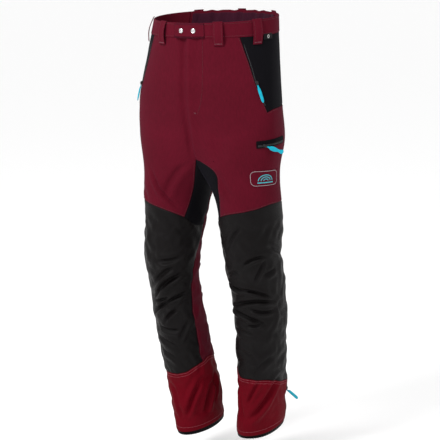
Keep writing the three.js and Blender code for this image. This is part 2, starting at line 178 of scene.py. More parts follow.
# %% [markdown]
# ## Folds
# Work trousers break into folds where the wearer bends: bands of short creases under the knee, smile-shaped
# ones behind it, long slack ones from the fork and across the cuffs. Each fold is a line on the cloth, deep
# along its middle and fading at its ends, with a round ridge on each side. They are listed one by one; a cloth
# simulation further down adds the small crumples between them.

# %% Fold lines: start angle, start drop, end angle, end drop, depth, width, bow
FOLDS = {
    1: [
        (76, 608, 28, 583, 4.5, 5, 6), (144, 666, 60, 682, 5.5, 6, -5), (99, 668, 24, 697, 4.5, 5, 4),
        (122, 722, 18, 705, 6.0, 6, 9), (78, 730, 22, 736, 5.0, 5, -4), (150, 732, 44, 767, 6.0, 6, 6),
        (86, 775, 48, 770, 4.0, 5, 0), (106, 566, 70, 510, 3.2, 6, 4), (57, 654, 30, 598, 3.4, 5, 0),
        (60, 800, 130, 790, 2.2, 7, 4), (8, 928, 74, 1034, 6.5, 11, -6), (56, 925, 84, 990, 4.0, 8, 3),
        (120, 950, 96, 1050, 2.5, 10, 4), (71, 270, 84, 352, 2.4, 16, 3), (60, 455, 30, 500, 1.6, 12, 5),
        (98, 372, 80, 440, 2.4, 12, -4), (34, 636, 6, 622, 3.0, 6, 0), (128, 640, 84, 628, 2.5, 6, 4),
        (20, 560, -20, 588, 3.5, 8, 0), (110, 845, 60, 870, 1.8, 9, 4), (30, 860, 70, 905, 1.6, 9, 4),
    ],
    -1: [
        (74, 712, 152, 646, 6.5, 7, 8), (72, 729, 116, 711, 5.5, 5, -3), (64, 758, 157, 699, 6.5, 6, 7),
        (92, 778, 128, 745, 4.5, 6, 4), (76, 796, 128, 802, 3.8, 6, -3), (96, 618, 150, 606, 3.4, 8, -5),
        (82, 678, 132, 630, 3.4, 7, 5), (62, 388, 130, 482, 3.6, 5, -8), (157, 940, 114, 1034, 6.0, 9, 5),
        (186, 958, 160, 1036, 8.0, 9, 3), (196, 940, 188, 1020, 5.0, 8, 0), (84, 950, 100, 1040, 2.4, 10, 4),
        (112, 362, 102, 456, 3.2, 12, 5), (40, 430, 66, 470, 1.6, 12, 3), (106, 100, 102, 230, 2.4, 14, 0),
        (60, 820, 120, 850, 2.2, 8, 4), (100, 740, 140, 718, 3.0, 5, 0), (70, 860, 110, 880, 1.8, 8, 3),
        (150, 780, 120, 830, 2.6, 7, 3),
    ],
}
BEHIND = [
    (215, 432, 300, 452, 5.0, 12, 12), (225, 478, 292, 500, 3.2, 12, 8), (232, 596, 312, 604, 5.0, 7, 8),
    (222, 632, 300, 648, 6.0, 7, 7), (238, 684, 318, 668, 5.0, 7, 6), (220, 716, 296, 728, 5.0, 7, 6),
    (246, 762, 322, 750, 4.0, 8, 5), (226, 806, 290, 816, 3.0, 9, 5), (240, 950, 262, 1030, 3.5, 10, 4),
    (300, 940, 285, 1010, 3.0, 10, 3), (250, 250, 292, 300, 2.2, 16, 8),
]
MM_PER_DEGREE = 1.36


def fold(angle, drop, line):
    """Height of one fold: across it a narrow valley with a full ridge below and a lower one above, along it
    a rise and a fade, and the line itself bowed."""
    angle_a, drop_a, angle_b, drop_b, depth, width, bow = line
    run = np.array([(angle_b - angle_a) * MM_PER_DEGREE, drop_b - drop_a])
    length = np.hypot(*run)
    run = run / length
    half_turn = (angle_b - angle_a) / 2
    round_it = (angle - angle_a - half_turn + 180) % 360 - 180 + half_turn
    x, y = round_it * MM_PER_DEGREE, drop - drop_a
    t = (x * run[0] + y * run[1]) / length
    across = (y * run[0] - x * run[1]) * np.sign(run[0]) - bow * (4 * (t - 0.5) ** 2 - 0.6)
    fade = smooth((t + 0.1) / 0.4) * smooth((1.1 - t) / 0.4)
    q = across / width
    valley = -1.5 / (1 + (1.5 * q) ** 4) * np.exp(-0.3 * np.abs(q))
    ridges = 0.95 * hump(q - 1.45, 0.95) + 0.6 * hump(q + 1.5, 1.0)
    return depth * fade * (valley + ridges)


print(len(FOLDS[1]) + len(FOLDS[-1]) + 2 * len(BEHIND), "folds")

# %% [markdown]
# ### Swellings and slack
# Under the folds the two legs differ: one knee is pushed forward, one hip is fuller. A few broad round
# swellings say so, and long low waves keep the cloth from looking ironed. Both are added to the folds as
# one height.

# %% Broad shape and slack
BULGES = {
    1: [(-35, 200, 5, 40, 90), (-32, 500, 7, 40, 60), (-35, 590, -3, 35, 18), (-30, 650, 6, 40, 50),
        (-35, 760, 3, 40, 70), (150, 470, -5, 30, 50)],
    -1: [(38, 340, 12, 45, 95), (40, 455, 6, 45, 60), (45, 560, 3, 40, 40), (48, 690, -5, 40, 60),
         (45, 1070, -6, 45, 60), (215, 980, 5, 40, 80)],
}


def fullness(side, angle, drop):
    """Broad swellings and hollows of the form that the two legs don't share: angle, drop, height, reach
    round the leg in degrees and reach along it in millimetres."""
    height = 0.0
    for place, level_at, tall, reach, length in BULGES[side]:
        turn = (angle - place + 180) % 360 - 180
        height = height + tall * np.exp(-((turn / reach) ** 2) - ((drop - level_at) / length) ** 2)
    return height * smooth((drop - BAND) / 80)


WAVES = [(1, 150), (2, -110), (3, 90), (4, -140), (3, -75), (5, 170), (2, 65), (6, -100)]
starts = chance.uniform(0, 2 * np.pi, (len(WAVES), 2))


def slack(side, angle, drop):
    """Gentle unevenness of hanging cloth: waves that each go a whole number of times round the leg, with a
    length downwards in millimetres, stronger below the knee."""
    total = 0.0
    for (times, length), start in zip(WAVES, starts):
        total = total + np.sin(times * np.radians(angle) + 2 * np.pi * drop / length + start[(side + 1) // 2])
    return 0.25 * total * (0.5 + smooth((drop - below(0.2)) / 150)) * smooth((drop - BAND) / 60)


SETTLED = {}


def relief(side, angle, drop):
    """How far the cloth stands off its plain surface: all folds, the slack, and what the simulation
    found."""
    height = slack(side, angle, drop) + fullness(side, angle, drop)
    for line in FOLDS[side] + BEHIND:
        height = height + fold(angle, drop, line)
    if side in SETTLED:
        height = height + SETTLED[side](angle, drop)
    from_middle = np.abs(skin(side, angle, drop)[..., 0])
    return height * smooth((from_middle - 1) / 22)


def cloth(side, angle, drop, out=0.0):
    """A point of the worn, folded surface."""
    return skin(side, angle, drop, out + relief(side, angle, drop))


print("cloth under the left knee stands off by", round(float(relief(1, 60.0, 700.0)), 1), "mm")

# %% [markdown]
# ## From grids to meshes
# A surface worked out on a grid becomes a mesh by numbering its points row by row. Patches that share an
# edge are merged there. Solidify gives cloth its thickness afterwards, so the grid only has to be the outer
# face.

# %% Mesh helpers
def grid_faces(rows, columns, start=0, closed=False):
    """Four-cornered faces of a grid of points numbered row by row; closed joins the last column to the
    first."""
    i = np.arange(rows - 1)[:, None]
    j = np.arange(columns if closed else columns - 1)[None, :]
    k = (j + 1) % columns
    faces = np.stack(np.broadcast_arrays(i * columns + j, i * columns + k, (i + 1) * columns + k,
                                         (i + 1) * columns + j), -1)
    return faces.reshape(-1, 4) + start


def outward(points, faces, away):
    """The faces, turned round if most of them look the same way as away, which points into the solid."""
    a, b, c = (points[faces[:, k]] for k in (0, 1, 2))
    looks = np.einsum("ij,ij->i", np.cross(b - a, c - a), a - away)
    return faces if looks.sum() > 0 else faces[:, ::-1]


def add_object(name, data):
    """A new object in the scene for a mesh, a light or a camera."""
    thing = bpy.data.objects.new(name, data)
    bpy.context.scene.collection.objects.link(thing)
    return thing


def add_piece(name, points, faces, material, body="garment", replaces=(), uv=None, smooth_shade=True):
    """A mesh object from points in millimetres and a list or array of faces, riding on a body."""
    mesh = bpy.data.meshes.new(name)
    mesh.from_pydata((np.asarray(points, float) * MM).tolist(), [], faces)
    if uv is not None:
        layer = mesh.uv_layers.new(name="cloth")
        corner = np.empty(len(mesh.loops), np.int32)
        mesh.loops.foreach_get("vertex_index", corner)
        layer.data.foreach_set("uv", (np.asarray(uv, float)[corner] * MM).astype(np.float32).ravel())
    mesh.polygons.foreach_set("use_smooth", np.full(len(mesh.polygons), smooth_shade))
    mesh.materials.append(material)
    mesh.update()
    piece = add_object(name, mesh)
    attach(piece, body)
    if replaces:
        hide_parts(*replaces)
    return piece


def laid(across, drop):
    """Cloth coordinates of a grid, in millimetres: across the piece, and down it counted as negative."""
    return np.stack(np.broadcast_arrays(across, -drop), -1).reshape(-1, 2)


def thicken(piece, thickness, inward=True):
    """Gives a sheet its cloth thickness, on the inside of the face that was made."""
    solid = piece.modifiers.new("cloth thickness", "SOLIDIFY")
    solid.thickness = thickness * MM
    solid.offset = -1 if inward else 1
    solid.use_even_offset = False
    return piece


def merged(points, faces, uv, near=0.05):
    """Joins points of several patches that lie within near of each other, as at a shared edge."""
    key = np.round(points / near).astype(np.int64)
    _, first, number = np.unique(key, axis=0, return_index=True, return_inverse=True)
    faces = number.reshape(-1)[faces]
    return points[first], faces, uv[first]


print("pieces can be made from points and faces")

# %% [markdown]
# ### Where a panel's points go
# A panel is cut by four seams, so its grid is bent to follow them: rows and columns run from seam to seam.
# Points are packed closer near a seam, where the cloth rolls over its edge, and the distance to a seam says
# how far along that roll a point is.

# %% Grids between seams
def spread(length, step=None, edge=True):
    """Places from 0 to 1 along a length in millimetres: even steps, with closer ones at both ends for the
    seam's rounded edge."""
    step = step or STEP
    even = np.linspace(0, 1, max(int(round(length / step)), 2) + 1)
    if not edge:
        return even
    close = np.array([0.5, 1.1, 1.9, 2.9, 4.2]) / length
    even = even[(even > close[-1] + 0.4 * step / length) & (even < 1 - close[-1] - 0.4 * step / length)]
    return np.concatenate([[0], close, even, 1 - close[::-1], [1]])


def as_curve(seam):
    """A seam that is given as a number has that value everywhere."""
    return seam if callable(seam) else lambda place: seam + 0 * place


def patch_grid(patch, across, rows):
    """Angles and drops of a patch: each point lies between the patch's first and last edges, which depend
    on the drop, and its top and bottom edges, which depend on the angle. A few rounds settle the two."""
    first, last, top, bottom = (as_curve(edge) for edge in patch)
    u, v = np.meshgrid(across, rows)
    drop = top(0 * v) + (bottom(0 * v) - top(0 * v)) * v
    for _ in range(10):
        angle = first(drop) + (last(drop) - first(drop)) * u
        drop = top(angle) + (bottom(angle) - top(angle)) * v
    return angle, drop


def distance_to(points, line):
    """Shortest distance from each point to a line of straight pieces."""
    a, b = line[:-1], line[1:]
    run = b - a
    nearest = np.full(len(points), 1e9)
    for chunk in np.array_split(np.arange(len(points)), max(len(points) // 4000, 1)):
        p = points[chunk, None, :]
        t = np.clip(((p - a) * run).sum(-1) / (run * run).sum(-1), 0, 1)
        nearest[chunk] = np.sqrt((((p - a - t[..., None] * run) ** 2).sum(-1)).min(1))
    return nearest


print("helpers ready")

# %% [markdown]
# ## Seam lines
# A pattern is known by its seams. Each is a curve on the cloth: an angle for every drop on an upright seam,
# a drop for every angle on one that goes round the leg. Pieces on both sides of a seam read the same curve,
# so they always meet.

# %% The curves
HIP_TIP, HIP_TIP_ANGLE = down(0.55), 14
SIDE_SEAM, OUTER_BACK, GUSSET_BACK = -42, -50, 205
GUSSET_TOP, SEAT_FOOT = down(0.855), below(0.14)
ANKLE_ANGLE, ANKLE_OPENING = 322, 6
ANKLE_ZIP_TOP = below(0.845)


def curve(*rows):
    """A smooth seam through a few (place, value) pairs."""
    return lambda place: through(rows, place)


hip_front = curve((BAND, 43), (down(0.24), 36), (down(0.38), 28), (HIP_TIP, HIP_TIP_ANGLE))
hip_bottom = curve((SIDE_SEAM, down(0.515)), (-2, down(0.53)), (HIP_TIP_ANGLE, HIP_TIP))
knee_top = curve((-60, below(0.068)), (8, below(0.066)), (46, below(0.084)), (95, below(0.105)),
                 (142, below(0.14)), (168, below(0.176)), (215, below(0.186)))
cuff_top = curve((-60, below(0.839)), (-17, below(0.812)), (30, below(0.779)), (64, below(0.77)),
                 (122, below(0.761)), (160, below(0.737)), (200, below(0.726)), (300, below(0.839)))
knee_inner = curve((below(0.1), 200), (below(0.29), 192), (below(0.47), 170), (below(0.6), 167), (HEM, 178))
gusset_front = {
    1: curve((GUSSET_TOP, 121), (down(0.9), 102), (down(0.94), 98), (down(1.02), 102), (below(0.1), 116)),
    -1: curve((GUSSET_TOP, 124), (down(0.92), 133), (down(1.04), 148), (below(0.08), 149), (below(0.14), 142)),
}


def upright(side, seam, start, end, out=0.0):
    """Points along a seam that gives an angle for each drop."""
    drop = np.linspace(start, end, max(int(abs(end - start) / 4), 4))
    return skin(side, as_curve(seam)(drop), drop, out)


def level(side, seam, start, end, out=0.0):
    """Points along a seam that gives a drop for each angle."""
    angle = np.linspace(start, end, max(int(abs(end - start) / 3), 4))
    return skin(side, angle, as_curve(seam)(angle), out)


def foot_of(side, seam, start):
    """The drop at which an upright seam meets the knee's top seam."""
    drop = start
    for _ in range(12):
        drop = float(knee_top(seam(drop)))
    return drop


print("knee seam meets the gusset at", round(foot_of(1, gusset_front[1], 480)), "and",
      round(foot_of(-1, gusset_front[-1], 480)), "mm down")

# %% [markdown]
# ## Letting the cloth settle
# The listed folds look ironed in between. So a plain tube of each leg, folds and all, is run as cloth that
# has grown a few per cent and is held loosely where it is: it has to buckle, and what it adds is read off
# as a height and put on every piece. The tube is simulated ten times larger than life, where the solver is
# steadier.

# %% A short cloth simulation for each leg
def settle(side, growth=0.045, spacing=6.0, columns=120, frames=24):
    """Heights the cloth finds, as a function of angle and drop: straight steps between the tube's
    points."""
    angle, drop = np.meshgrid(np.linspace(0, 360, columns + 1)[:-1], np.arange(below(0.1), HEM - 2, spacing))
    start = cloth(side, angle, drop)
    mesh = bpy.data.meshes.new("settling cloth")
    scale = 10 * MM
    faces = grid_faces(*angle.shape, closed=True)
    mesh.from_pydata((start.reshape(-1, 3) * scale).tolist(), [], faces.tolist())
    tube = add_object("settling cloth", mesh)
    pins = tube.vertex_groups.new(name="pins")
    from_end = np.minimum(drop - drop.min(), drop.max() - drop).ravel()
    pins.add(np.flatnonzero(from_end < 2 * spacing).tolist(), 1.0, "REPLACE")
    pins.add(np.flatnonzero(from_end >= 2 * spacing).tolist(), 0.25, "REPLACE")
    simulation = tube.modifiers.new("cloth", "CLOTH")
    fabric = simulation.settings
    fabric.quality, fabric.mass = 6, 0.3
    fabric.tension_stiffness = fabric.compression_stiffness = 30
    fabric.shear_stiffness, fabric.bending_stiffness = 15, 0.4
    fabric.vertex_group_mass, fabric.shrink_min = "pins", -growth
    fabric.effector_weights.gravity = 0.0
    for number in range(1, frames + 1):
        bpy.context.scene.frame_set(number)
    settled = tube.evaluated_get(bpy.context.evaluated_depsgraph_get()).data
    places = np.empty(3 * len(settled.vertices))
    settled.vertices.foreach_get("co", places)
    moved = places.reshape(start.shape) / scale - start
    bpy.context.scene.frame_set(1)
    bpy.data.objects.remove(tube)
    height = (moved * (skin(side, angle, drop, 1) - skin(side, angle, drop))).sum(-1)
    height = (np.roll(height, 1, 1) + 2 * height + np.roll(height, -1, 1)) / 4
    height[1:-1] = (height[:-2] + 2 * height[1:-1] + height[2:]) / 4
    height = np.clip(0.9 * height, -3, 3) * smooth(from_end.reshape(angle.shape) / 40)

    def between(angle, drop):
        """The height at any place: straight-line steps between the four nearest points of the tube."""
        i = np.clip((drop - below(0.1)) / spacing, 0, height.shape[0] - 1.001)
        j = np.mod(angle, 360) / 360 * columns
        top, left = i.astype(int), j.astype(int) % columns
        u, v = j - j.astype(int), i - top
        right = (left + 1) % columns
        upper = height[top, left] * (1 - u) + height[top, right] * u
        lower = height[top + 1, left] * (1 - u) + height[top + 1, right] * u
        return upper * (1 - v) + lower * v
    return between


found = {side: settle(side) for side in (1, -1)}
SETTLED.update(found)
for side in found:
    sample = found[side](*np.meshgrid(np.arange(0.0, 360, 10), np.arange(500.0, 1050, 10)))
    print("cloth settled by", round(float(sample.min()), 1), "to", round(float(sample.max()), 1), "mm")

# %% [markdown]
# ## Materials
# Cloth in Blender is best described by how it is made. Softshell is a close, matt stretch weave with a
# brushed face, so it has a soft sheen at grazing angles and hardly any gloss. Ripstop carries a grid of
# thicker threads. The weave reads the piece's own UV map, laid in metres on the cloth, so that threads run
# along the leg and turn with it.

# %% Colour and node helpers
def linear(code, alpha=1.0):
    """A hex sRGB colour as linear RGBA."""
    parts = [int(code[k:k + 2], 16) / 255 for k in (1, 3, 5)]
    return [c / 12.92 if c <= 0.04045 else ((c + 0.055) / 1.055) ** 2.4 for c in parts] + [alpha]


def add_node(tree, kind, inputs=None, **settings):
    """Adds one node, sets its properties, and fills its inputs with values or with links from other
    nodes."""
    node = tree.nodes.new(kind)
    for key, value in settings.items():
        setattr(node, key, value)
    for key, value in (inputs or {}).items():
        if isinstance(value, bpy.types.NodeSocket):
            tree.links.new(value, node.inputs[key])
        else:
            node.inputs[key].default_value = value
    return node


def new_material(name):
    """An empty material with its principled shader and output, ready for a pattern."""
    material = bpy.data.materials.new(name)
    material.use_nodes = True
    tree = material.node_tree
    tree.nodes.clear()
    shader = add_node(tree, "ShaderNodeBsdfPrincipled")
    add_node(tree, "ShaderNodeOutputMaterial", {"Surface": shader.outputs["BSDF"]})
    return material, tree, shader


print("node helpers ready")

# %% [markdown]
# ### Two patterns
# Cloth and moulded things need different patterns with the same ending. Cloth gets two crossed sets of
# threads; rubber, nylon and metal get a fine grain. Each ends in a colour ramp, a roughness and a bump.

# %% Woven and moulded surfaces
def finish_pattern(tree, shader, tint, span, colours, gloss, roughness, height, bump, values):
    """Wires a pattern into its shader: the tint picks a colour between two codes over a span, gloss does
    the same between two roughnesses, the height makes a bump (strength and depth in millimetres), and the
    rest are values."""
    ramp = add_node(tree, "ShaderNodeValToRGB", {"Fac": tint})
    for element, position, code in zip(ramp.color_ramp.elements, span, colours):
        element.position = position
        element.color = linear(code)
    rough = add_node(tree, "ShaderNodeMapRange",
                     {"Value": gloss, "To Min": roughness[0], "To Max": roughness[1]})
    dents = add_node(tree, "ShaderNodeBump",
                     {"Height": height, "Strength": bump[0], "Distance": bump[1] * MM})
    tree.links.new(ramp.outputs["Color"], shader.inputs["Base Color"])
    tree.links.new(rough.outputs["Result"], shader.inputs["Roughness"])
    tree.links.new(dents.outputs["Normal"], shader.inputs["Normal"])
    for key, value in values.items():
        shader.inputs[key].default_value = value


def woven(name, colour, lighter, thread=1.3, roughness=0.85, sheen=0.25, sheen_colour="#ffffff", rip=0.0,
          slub=0.5, bump=0.25, twill=0.0, specular=0.06):
    """Woven cloth: two sets of threads as sine ridges on the UV map, uneven thread colour from stretched
    noise, an optional grid of thick ripstop threads or a twill diagonal, and a bump made of the same
    heights."""
    material, tree, shader = new_material(name)
    place = add_node(tree, "ShaderNodeUVMap", uv_map="cloth")
    threads_both_ways = [
        add_node(tree, "ShaderNodeTexWave", {"Vector": place.outputs["UV"], "Scale": 0.5 / (thread * MM),
                 "Distortion": 0.6, "Detail": 1.0, "Detail Scale": 2.0}, bands_direction=way).outputs["Fac"]
        for way in ("X", "DIAGONAL" if twill else "Y")]
    weave = add_node(tree, "ShaderNodeMath", dict(enumerate(threads_both_ways)), operation="MULTIPLY")
    stretch = add_node(tree, "ShaderNodeMapping", {"Vector": place.outputs["UV"], "Scale": (420, 60, 1)})
    threads = add_node(tree, "ShaderNodeTexNoise", {"Vector": stretch.outputs["Vector"], "Scale": 1.0,
                       "Detail": 3.0})
    broad = add_node(tree, "ShaderNodeTexNoise", {"Vector": place.outputs["UV"], "Scale": 9.0, "Detail": 3.0})
    fleck = add_node(tree, "ShaderNodeMix",
                     {"Factor": slub, 2: broad.outputs["Fac"], 3: threads.outputs["Fac"]})
    height = weave.outputs["Value"]
    tint = fleck.outputs[0]
    if rip:
        lines = [add_node(tree, "ShaderNodeTexWave", {"Vector": place.outputs["UV"], "Scale": 0.5 / (rip * MM),
                          "Distortion": 0.0}, bands_direction=way, wave_profile="SIN").outputs["Fac"]
                 for way in "XY"]
        ridge = add_node(tree, "ShaderNodeMath", dict(enumerate(lines)), operation="MAXIMUM").outputs[0]
        sharp = add_node(tree, "ShaderNodeMapRange", {"Value": ridge, "From Min": 0.93, "From Max": 1.0})
        height = add_node(tree, "ShaderNodeMath", {0: height, 1: sharp.outputs["Result"]},
                          operation="ADD").outputs[0]
    finish_pattern(tree, shader, tint, (0.32, 0.72), (colour, lighter), tint,
                   (roughness - 0.06, min(roughness + 0.06, 1.0)), height, (bump, 0.25),
                   {"Sheen Weight": sheen, "Sheen Roughness": 0.45, "Sheen Tint": linear(sheen_colour),
                    "Specular IOR Level": specular})
    return material


def moulded(name, colour, lighter, roughness, metallic=0.0, grain=900.0, bump=0.1, specular=0.5):
    """A moulded, cast or drawn surface: fine noise on Object coordinates for grain and slight colour
    change."""
    material, tree, shader = new_material(name)
    place = add_node(tree, "ShaderNodeTexCoord")
    noise = add_node(tree, "ShaderNodeTexNoise", {"Vector": place.outputs["Object"], "Scale": grain,
                     "Detail": 3.0})
    blotch = add_node(tree, "ShaderNodeTexNoise", {"Vector": place.outputs["Object"], "Scale": grain / 12,
                      "Detail": 2.0})
    grains = noise.outputs["Fac"]
    finish_pattern(tree, shader, blotch.outputs["Fac"], (0.35, 0.7), (colour, lighter), grains,
                   (roughness - 0.05, roughness + 0.05), grains, (bump, 0.1),
                   {"Metallic": metallic, "Specular IOR Level": specular})
    return material


# %% [markdown]
# ### The finishes
# Two reds, three blacks and one bright teal. The shell's red turns a little purple where the light grazes
# it, which is the brushed face catching light: that is what Sheen is for, and its tint carries the purple.

# %% The materials of this garment
# Polyamide softshell, brushed: matt, with a faint violet sheen where light grazes it. Real threads
# lie about 0.4 mm apart, too fine to show, so every cloth here is drawn two to four times coarser.
softshell = woven("burgundy polyamide softshell", "#440614", "#520a1b", thread=1.2, sheen=0.03,
                  sheen_colour="#b58ac0")
# Coated polyamide on the cuffs: brighter, and smoother than the shell, so it keeps a soft highlight.
crimson = woven("crimson coated polyamide", "#4d000b", "#5b000f", thread=1.4, roughness=0.75, sheen=0.01,
                sheen_colour="#ffb0a0", bump=0.2)
# Four-way stretch twill: a fine diagonal, close to flat black.
stretch_black = woven("black four-way stretch", "#060508", "#0b0a0e", thread=1.1, roughness=0.8, sheen=0.015,
                      sheen_colour="#8f8fb8", twill=1.0)
# Ripstop polyamide: smooth and slightly shiny, with a thicker thread every 5 mm both ways.
ripstop = woven("black ripstop polyamide", "#080606", "#0f0c0d", thread=1.0, roughness=0.5, sheen=0.01,
                sheen_colour="#c8b8b8", rip=5.0, bump=0.3, specular=0.08)
# Knits and mesh: coarse open loops that swallow light.
gaiter_knit = woven("black knit gaiter", "#050505", "#0c0c0c", thread=1.8, roughness=0.95, bump=0.5)
fibre = woven("protection fibre knit", "#b9b7ae", "#dbd9d0", thread=2.4, roughness=0.95, slub=0.8, bump=0.6)
pocket_mesh = woven("pocket mesh", "#151517", "#1e1e21", thread=2.0, roughness=0.9, bump=0.6)
# Satin ribbon: long floats of thread, smoother than cloth.
label_weave = woven("black satin label", "#0b0b0c", "#141416", thread=0.6, roughness=0.5, sheen=0.1)
# Polyester sewing thread, twisted: each stitch catches a little light on its upper side.
thread_pink = moulded("dusty pink sewing thread", "#6c3a46", "#7c4953", 0.7, grain=2500)
thread_dark = moulded("burgundy sewing thread", "#430c18", "#541220", 0.7, grain=2500)
# Silicone rubber, moulded: even colour and a broad soft highlight.
teal_rubber = moulded("teal silicone rubber", "#0090a8", "#00a3b8", 0.42, grain=1400, bump=0.2,
                       specular=0.2)
# Heat transfer print: a thin even film, a little smoother than the cloth under it.
teal_print = moulded("teal heat transfer print", "#1f8f9c", "#2aa3ae", 0.5, grain=1800)
grey_print = moulded("grey heat transfer print", "#84797d", "#93888b", 0.5, grain=1800)
# Steel under polished nickel: a mirror, softened only by fine scratches.
steel = moulded("polished nickel steel", "#c9cacc", "#dededf", 0.16, metallic=1.0, grain=2200, bump=0.03)
# Die-cast zinc under black lacquer: dark, with a clear small highlight.
dark_metal = moulded("black lacquered zinc", "#19191b", "#2a2a2d", 0.35, metallic=0.6, grain=2200, bump=0.05)
# Nylon monofilament and polyester tape: the coil shines a little, and the tape doesn't.
coil_nylon = moulded("black nylon zip coil", "#101012", "#1c1c1f", 0.45, grain=2600)
tape_black = moulded("black polyester zip tape", "#0a0a0b", "#131315", 0.85, grain=2600)
# Woven elastic: thick ribs of covered rubber.
elastic_web = woven("burgundy elastic webbing", "#2c0d1a", "#3a1324", thread=2.2, sheen=0.05)
thread_crimson = moulded("crimson sewing thread", "#8a4650", "#9a545e", 0.7, grain=2500)
# Woven mark: off-white yarn.
white_print = moulded("off-white woven mark", "#b9b6b2", "#c9c6c2", 0.7, grain=1800)
print(len(bpy.data.materials), "materials")

# %% [markdown]
# ## Panels
# A sewn panel ends in one of two ways. On top, its edge is folded under and rounded, with a row of stitches
# beside it. Beneath, it dives under its neighbour just before the seam and runs on for the seam allowance.
# Both come from the distance to the seam line, so the groove follows any curve.

# %% One panel from its patches
def sewn_panel(name, side, patches, material, over=(), under=(), out=0.0, thickness=CLOTH, lift=None):
    """The patches' grids on the folded surface, lowered near each seam: over edges round off in the last
    two millimetres, and under edges sink by SINK where beyond(angle, drop) says that the neighbour lies on
    top."""
    points, faces, uv, count, widest = [], [], [], 0, 0.0
    for patch, across, rows in patches:
        angle, drop = patch_grid(patch, across, rows)
        plain = skin(side, angle, drop).reshape(-1, 3)
        dive = np.zeros(plain.shape[0])
        for line in over:
            gap = distance_to(plain, line)
            dive -= 0.5 * (1 - smooth(gap / 1.8)) + 0.28 * hump(gap - 2.4, 0.8)
        for line, beyond in under:
            gap = distance_to(plain, line)
            hidden = beyond(angle, drop).ravel()
            dive = np.minimum(dive, -SINK * np.where(hidden, 1.0, 1 - smooth(gap / 4.0)))
        raised = lift(angle, drop) if lift else 0.0
        placed = cloth(side, angle, drop, out + raised + dive.reshape(angle.shape))
        points.append(placed.reshape(-1, 3))
        row_lengths = np.linalg.norm(np.diff(plain.reshape(*angle.shape, 3), axis=1), axis=2).sum(1)
        widest = max(widest, row_lengths.max())
        uv.append(laid(np.radians(angle) * MEAN_RADIUS, drop))
        faces.append(grid_faces(*angle.shape, start=count))
        count += angle.size
    points, faces, uv = merged(np.concatenate(points), np.concatenate(faces), np.concatenate(uv))
    faces = faces if side > 0 else faces[:, ::-1]
    piece = add_piece(name, points, faces.tolist(), material, replaces=(name,), uv=uv)
    return thicken(piece, thickness)


print("panel maker ready")

# %% [markdown]
# ### Front panels
# The burgundy front reaches from the side seam to the fly, down to the knee seam, with a corner cut out for
# the hand pocket. Three patches make that shape: beside the pocket, below it, and towards the side seam.

# %% Front, hip and seat
def fly_edge(side):
    """The left front's edge lies over the right front along the fly, so it is raised near the middle, and
    the right front is pressed in beside it."""
    def height(angle, drop):
        """Raised in an S-curve towards the left front's edge, pressed down in one towards the right's."""
        gap = (middle_front(drop) - angle) * 2.6
        along_fly = smooth((GUSSET_TOP + 10 - drop) / 60)
        if side > 0:
            return along_fly * (3.6 * (1 - smooth((gap - 5) / 20)) + 0.9 * hump(gap - 5, 4))
        return -along_fly * (0.6 + 0.9 * (1 - smooth(gap / 8)) + 5.0 * hump(gap - 12, 7))
    return height


for name, side in SIDES.items():
    def inner(drop, side=side):
        """The front's inner seam: the middle plane down to the gusset, then the gusset's seam."""
        return np.where(drop < GUSSET_TOP, middle_front(drop), gusset_front[side](drop))

    def fly_last(drop, side=side):
        """The fly's edge: the middle plane, and on the right 4 degrees past it, under the left front."""
        return middle_front(drop) + (0 if side > 0 else 4) * smooth((HIP_TIP - drop) / 30)

    foot = foot_of(side, gusset_front[side], 480)
    upper_rows, lower_rows = spread(HIP_TIP - BAND), spread(knee_top(60) - HIP_TIP)
    front_across, side_across = spread(230), spread(150)
    sewn_panel(
        f"front_panel_{name}", side,
        [((hip_front, fly_last, BAND - 6, HIP_TIP), front_across, upper_rows),
         ((HIP_TIP_ANGLE, inner, HIP_TIP, knee_top), front_across, lower_rows),
         ((SIDE_SEAM, HIP_TIP_ANGLE, hip_bottom, knee_top), side_across, lower_rows)],
        softshell,
        over=[upright(side, hip_front, BAND, HIP_TIP), level(side, hip_bottom, SIDE_SEAM, HIP_TIP_ANGLE),
              level(side, knee_top, SIDE_SEAM, inner(foot)),
              upright(side, gusset_front[side], GUSSET_TOP, foot),
              upright(side, SIDE_SEAM, hip_bottom(SIDE_SEAM), knee_top(SIDE_SEAM))]
        + ([upright(side, middle_front, BAND, GUSSET_TOP)] if side > 0 else []),
        lift=fly_edge(side),
    )
    sewn_panel(
        f"hip_panel_{name}", side,
        [((SIDE_SEAM, lambda drop: hip_front(drop) + 5, BAND - 6, lambda angle: hip_bottom(angle) + LAP),
          spread(270), spread(190))],
        stretch_black,
        over=[upright(side, SIDE_SEAM, BAND, hip_bottom(SIDE_SEAM))],
        under=[(upright(side, hip_front, BAND, HIP_TIP), lambda angle, drop: angle > hip_front(drop)),
               (level(side, hip_bottom, SIDE_SEAM, HIP_TIP_ANGLE),
                lambda angle, drop: drop > hip_bottom(angle))],
    )

    def seat_inner(drop):
        """The seat's inner seam: the middle plane behind down to the fork, then the gusset's back seam."""
        return np.where(drop < FORK, 360 - middle_front(drop), GUSSET_BACK)

    sewn_panel(
        f"seat_panel_{name}", side,
        [((seat_inner, 360 + SIDE_SEAM, BAND - 6, SEAT_FOOT + 1), spread(230), spread(460))],
        softshell,
        over=[upright(side, SIDE_SEAM, BAND, SEAT_FOOT), upright(side, GUSSET_BACK, FORK, SEAT_FOOT),
              upright(side, lambda drop: 360 - middle_front(drop), BAND, FORK),
              level(side, SEAT_FOOT, GUSSET_BACK, 360 + SIDE_SEAM)],
    )
print("front, hip and seat made")

# %% [markdown]
# ### Gusset, knee, back leg and cuff
# The gusset is a soft black diamond between the legs. The knee and shin panel is tougher ripstop, cut with
# slack so that the knee bends, and the crimson cuff takes the mud.

